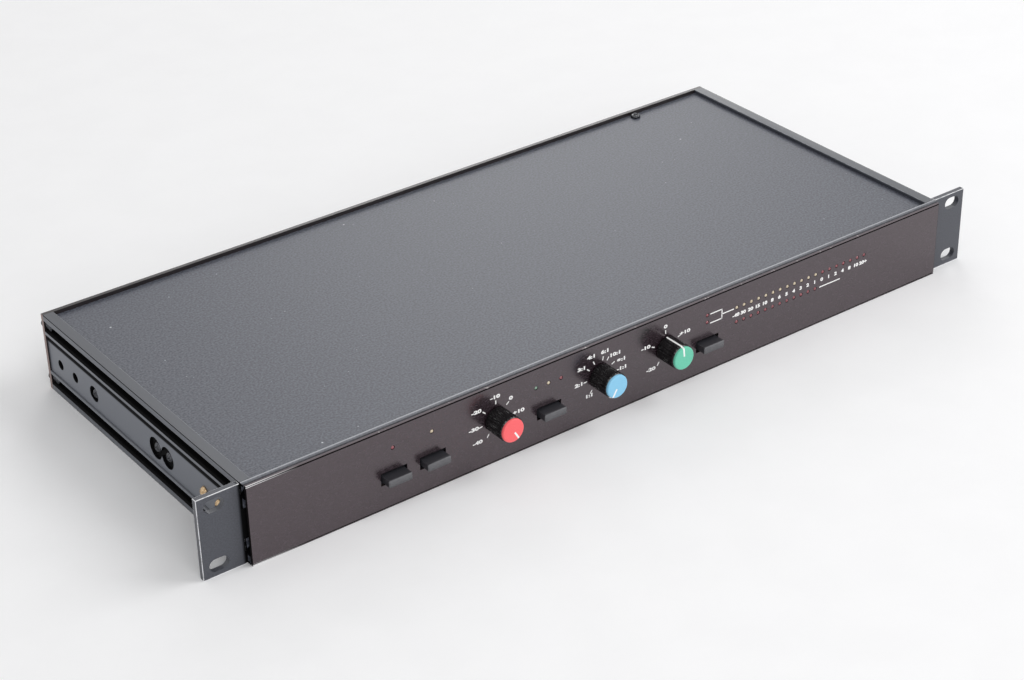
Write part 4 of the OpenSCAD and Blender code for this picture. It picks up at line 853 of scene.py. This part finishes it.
bm = bmesh.new()
for dial, marks in SCALES.items():
    for _, text, dx, dz in marks:
        x, z = DIALS[dial].x + dx * MM, DIALS[dial].z + dz * MM
        if text is None:
            print_number(bm, "8", x + SIGN_SHIFT * MM, z + SIGN_SHIFT * MM, math.pi / 2, SIGN_WIDEN)
            print_number(bm, ":1", x + SIGN_REST * MM, z)
        else:
            print_number(bm, text, x, z)
for i, text in enumerate(LEVEL_NUMBERS):
    print_number(bm, text, (LEVEL_FIRST + i * LEVEL_PITCH) * MM, LEVEL_NUMBER_Z * MM, widen=LEVEL_WIDEN)
bmesh.ops.remove_doubles(bm, verts=bm.verts, dist=0.0005 * MM)
scale_numbers = placed("scale_numbers", bm, ink.material)
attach(scale_numbers, "chassis")

# Pointer lines: white paint that fills the groove over each cap and down the side of its knob. They are set by
# their angle clockwise from the top, and sized in millimetres.
POINTER_AT = {"threshold": 149, "ratio": -149, "gain": -6}
POINTER_WIDTH, POINTER_START, POINTER_END, PAINT_UNDER, PAINT_OVER = 0.92, 1.2, 0.1, 0.24, 0.03
CAP_ROUND, KNOB_EDGE = 0.5, 0.4
for dial, angle in POINTER_AT.items():
    cap_low, cap_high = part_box(f"{dial}_cap")
    knob_low, knob_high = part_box(f"{dial}_knob")
    cap_r = (cap_high.x - cap_low.x) / 2
    knob_r = (knob_high.x - knob_low.x) / 2
    # The path from the cap's middle to the knob's foot: distance from the axis, then along Y.
    path = (
        (POINTER_START * MM, cap_low.y), (cap_r - CAP_ROUND * MM, cap_low.y),
        (cap_r, cap_low.y + CAP_ROUND * MM), (cap_r, knob_low.y), (knob_r - KNOB_EDGE * MM, knob_low.y),
        (knob_r, knob_low.y + KNOB_EDGE * MM), (knob_r, knob_high.y - POINTER_END * MM))
    over = [(r + PAINT_OVER * MM, y - PAINT_OVER * MM) for r, y in path]
    under = [(r - PAINT_UNDER * MM, y + PAINT_UNDER * MM) for r, y in path]
    bm = bmesh.new()
    sides = []
    for x in (-POINTER_WIDTH / 2 * MM, POINTER_WIDTH / 2 * MM):
        sides.append([[bm.verts.new((x, y, r)) for r, y in line] for line in (over, under)])
    (over_a, under_a), (over_b, under_b) = sides
    for i in range(len(path) - 1):
        bm.faces.new((over_a[i], over_a[i + 1], over_b[i + 1], over_b[i]))
        bm.faces.new((under_a[i], under_b[i], under_b[i + 1], under_a[i + 1]))
        bm.faces.new((over_a[i], under_a[i], under_a[i + 1], over_a[i + 1]))
        bm.faces.new((over_b[i], over_b[i + 1], under_b[i + 1], under_b[i]))
    for end in (0, -1):
        bm.faces.new((over_a[end], over_b[end], under_b[end], under_a[end]))
    bmesh.ops.recalc_face_normals(bm, faces=bm.faces)
    bmesh.ops.transform(bm, verts=bm.verts, matrix=Matrix.Translation(
        (DIALS[dial].x, 0, DIALS[dial].z)) @ Matrix.Rotation(math.radians(angle), 4, "Y"))
    pointer = placed(f"{dial}_pointer", bm, ink.material)
    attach(pointer, f"{dial}_dial")

# Studio: a matt white floor under the rails, even white light all round and three wide soft lights.
FLOOR_REACH = 6.0
floor_mesh = bpy.data.meshes.new("floor")
corners = ((-1, -1), (1, -1), (1, 1), (-1, 1))
floor_mesh.from_pydata(
    [(x * FLOOR_REACH, y * FLOOR_REACH, RAIL_LOW.z) for x, y in corners], [], [(0, 1, 2, 3)])
floor = bpy.data.objects.new("floor", floor_mesh)
scene.collection.objects.link(floor)
paper = Finish("white paper backdrop", "#fcfcfd", "#fefeff", (30, 30, 30), (0.8, 0.9), 0.001)
floor_mesh.materials.append(paper.material)

# What is seen or mirrored of the room is white; its light on matt surfaces has this strength.
ROOM_LIGHT = 0.56
world = bpy.data.worlds.new("studio")
scene.world = world
world.use_nodes = True
sky = world.node_tree
path = add(sky, "ShaderNodeLightPath").outputs
seen = add(sky, "ShaderNodeMath", {
    0: path["Is Camera Ray"], 1: path["Is Glossy Ray"]}, operation="MAXIMUM").outputs["Value"]
seen = add(sky, "ShaderNodeMath", {
    0: seen, 1: path["Is Transmission Ray"]}, operation="MAXIMUM").outputs["Value"]
level = add(sky, "ShaderNodeMapRange", {"Value": seen, "To Min": ROOM_LIGHT, "To Max": 1.0})
background = sky.nodes["Background"]
background.inputs["Color"].default_value = (1.0, 1.0, 1.0, 1.0)
sky.links.new(level.outputs["Result"], background.inputs["Strength"])

# Soft lights: place, size across in metres and power in watts; all face the middle of the unit.
SOFT_LIGHTS = {
    "key": ((1.7, -0.9, 1.75), 1.6, 26),
    "rear": ((1.5, 2.1, 1.15), 1.0, 9),
    "fill": ((-0.7, -2.2, 1.3), 1.5, 16),
}
for name, (spot, size, power) in SOFT_LIGHTS.items():
    light = bpy.data.objects.new(name, bpy.data.lights.new(name, "AREA"))
    scene.collection.objects.link(light)
    light.data.size, light.data.energy = size, power
    light.location = spot
    light.rotation_euler = (-Vector(spot)).to_track_quat("-Z", "Y").to_euler()
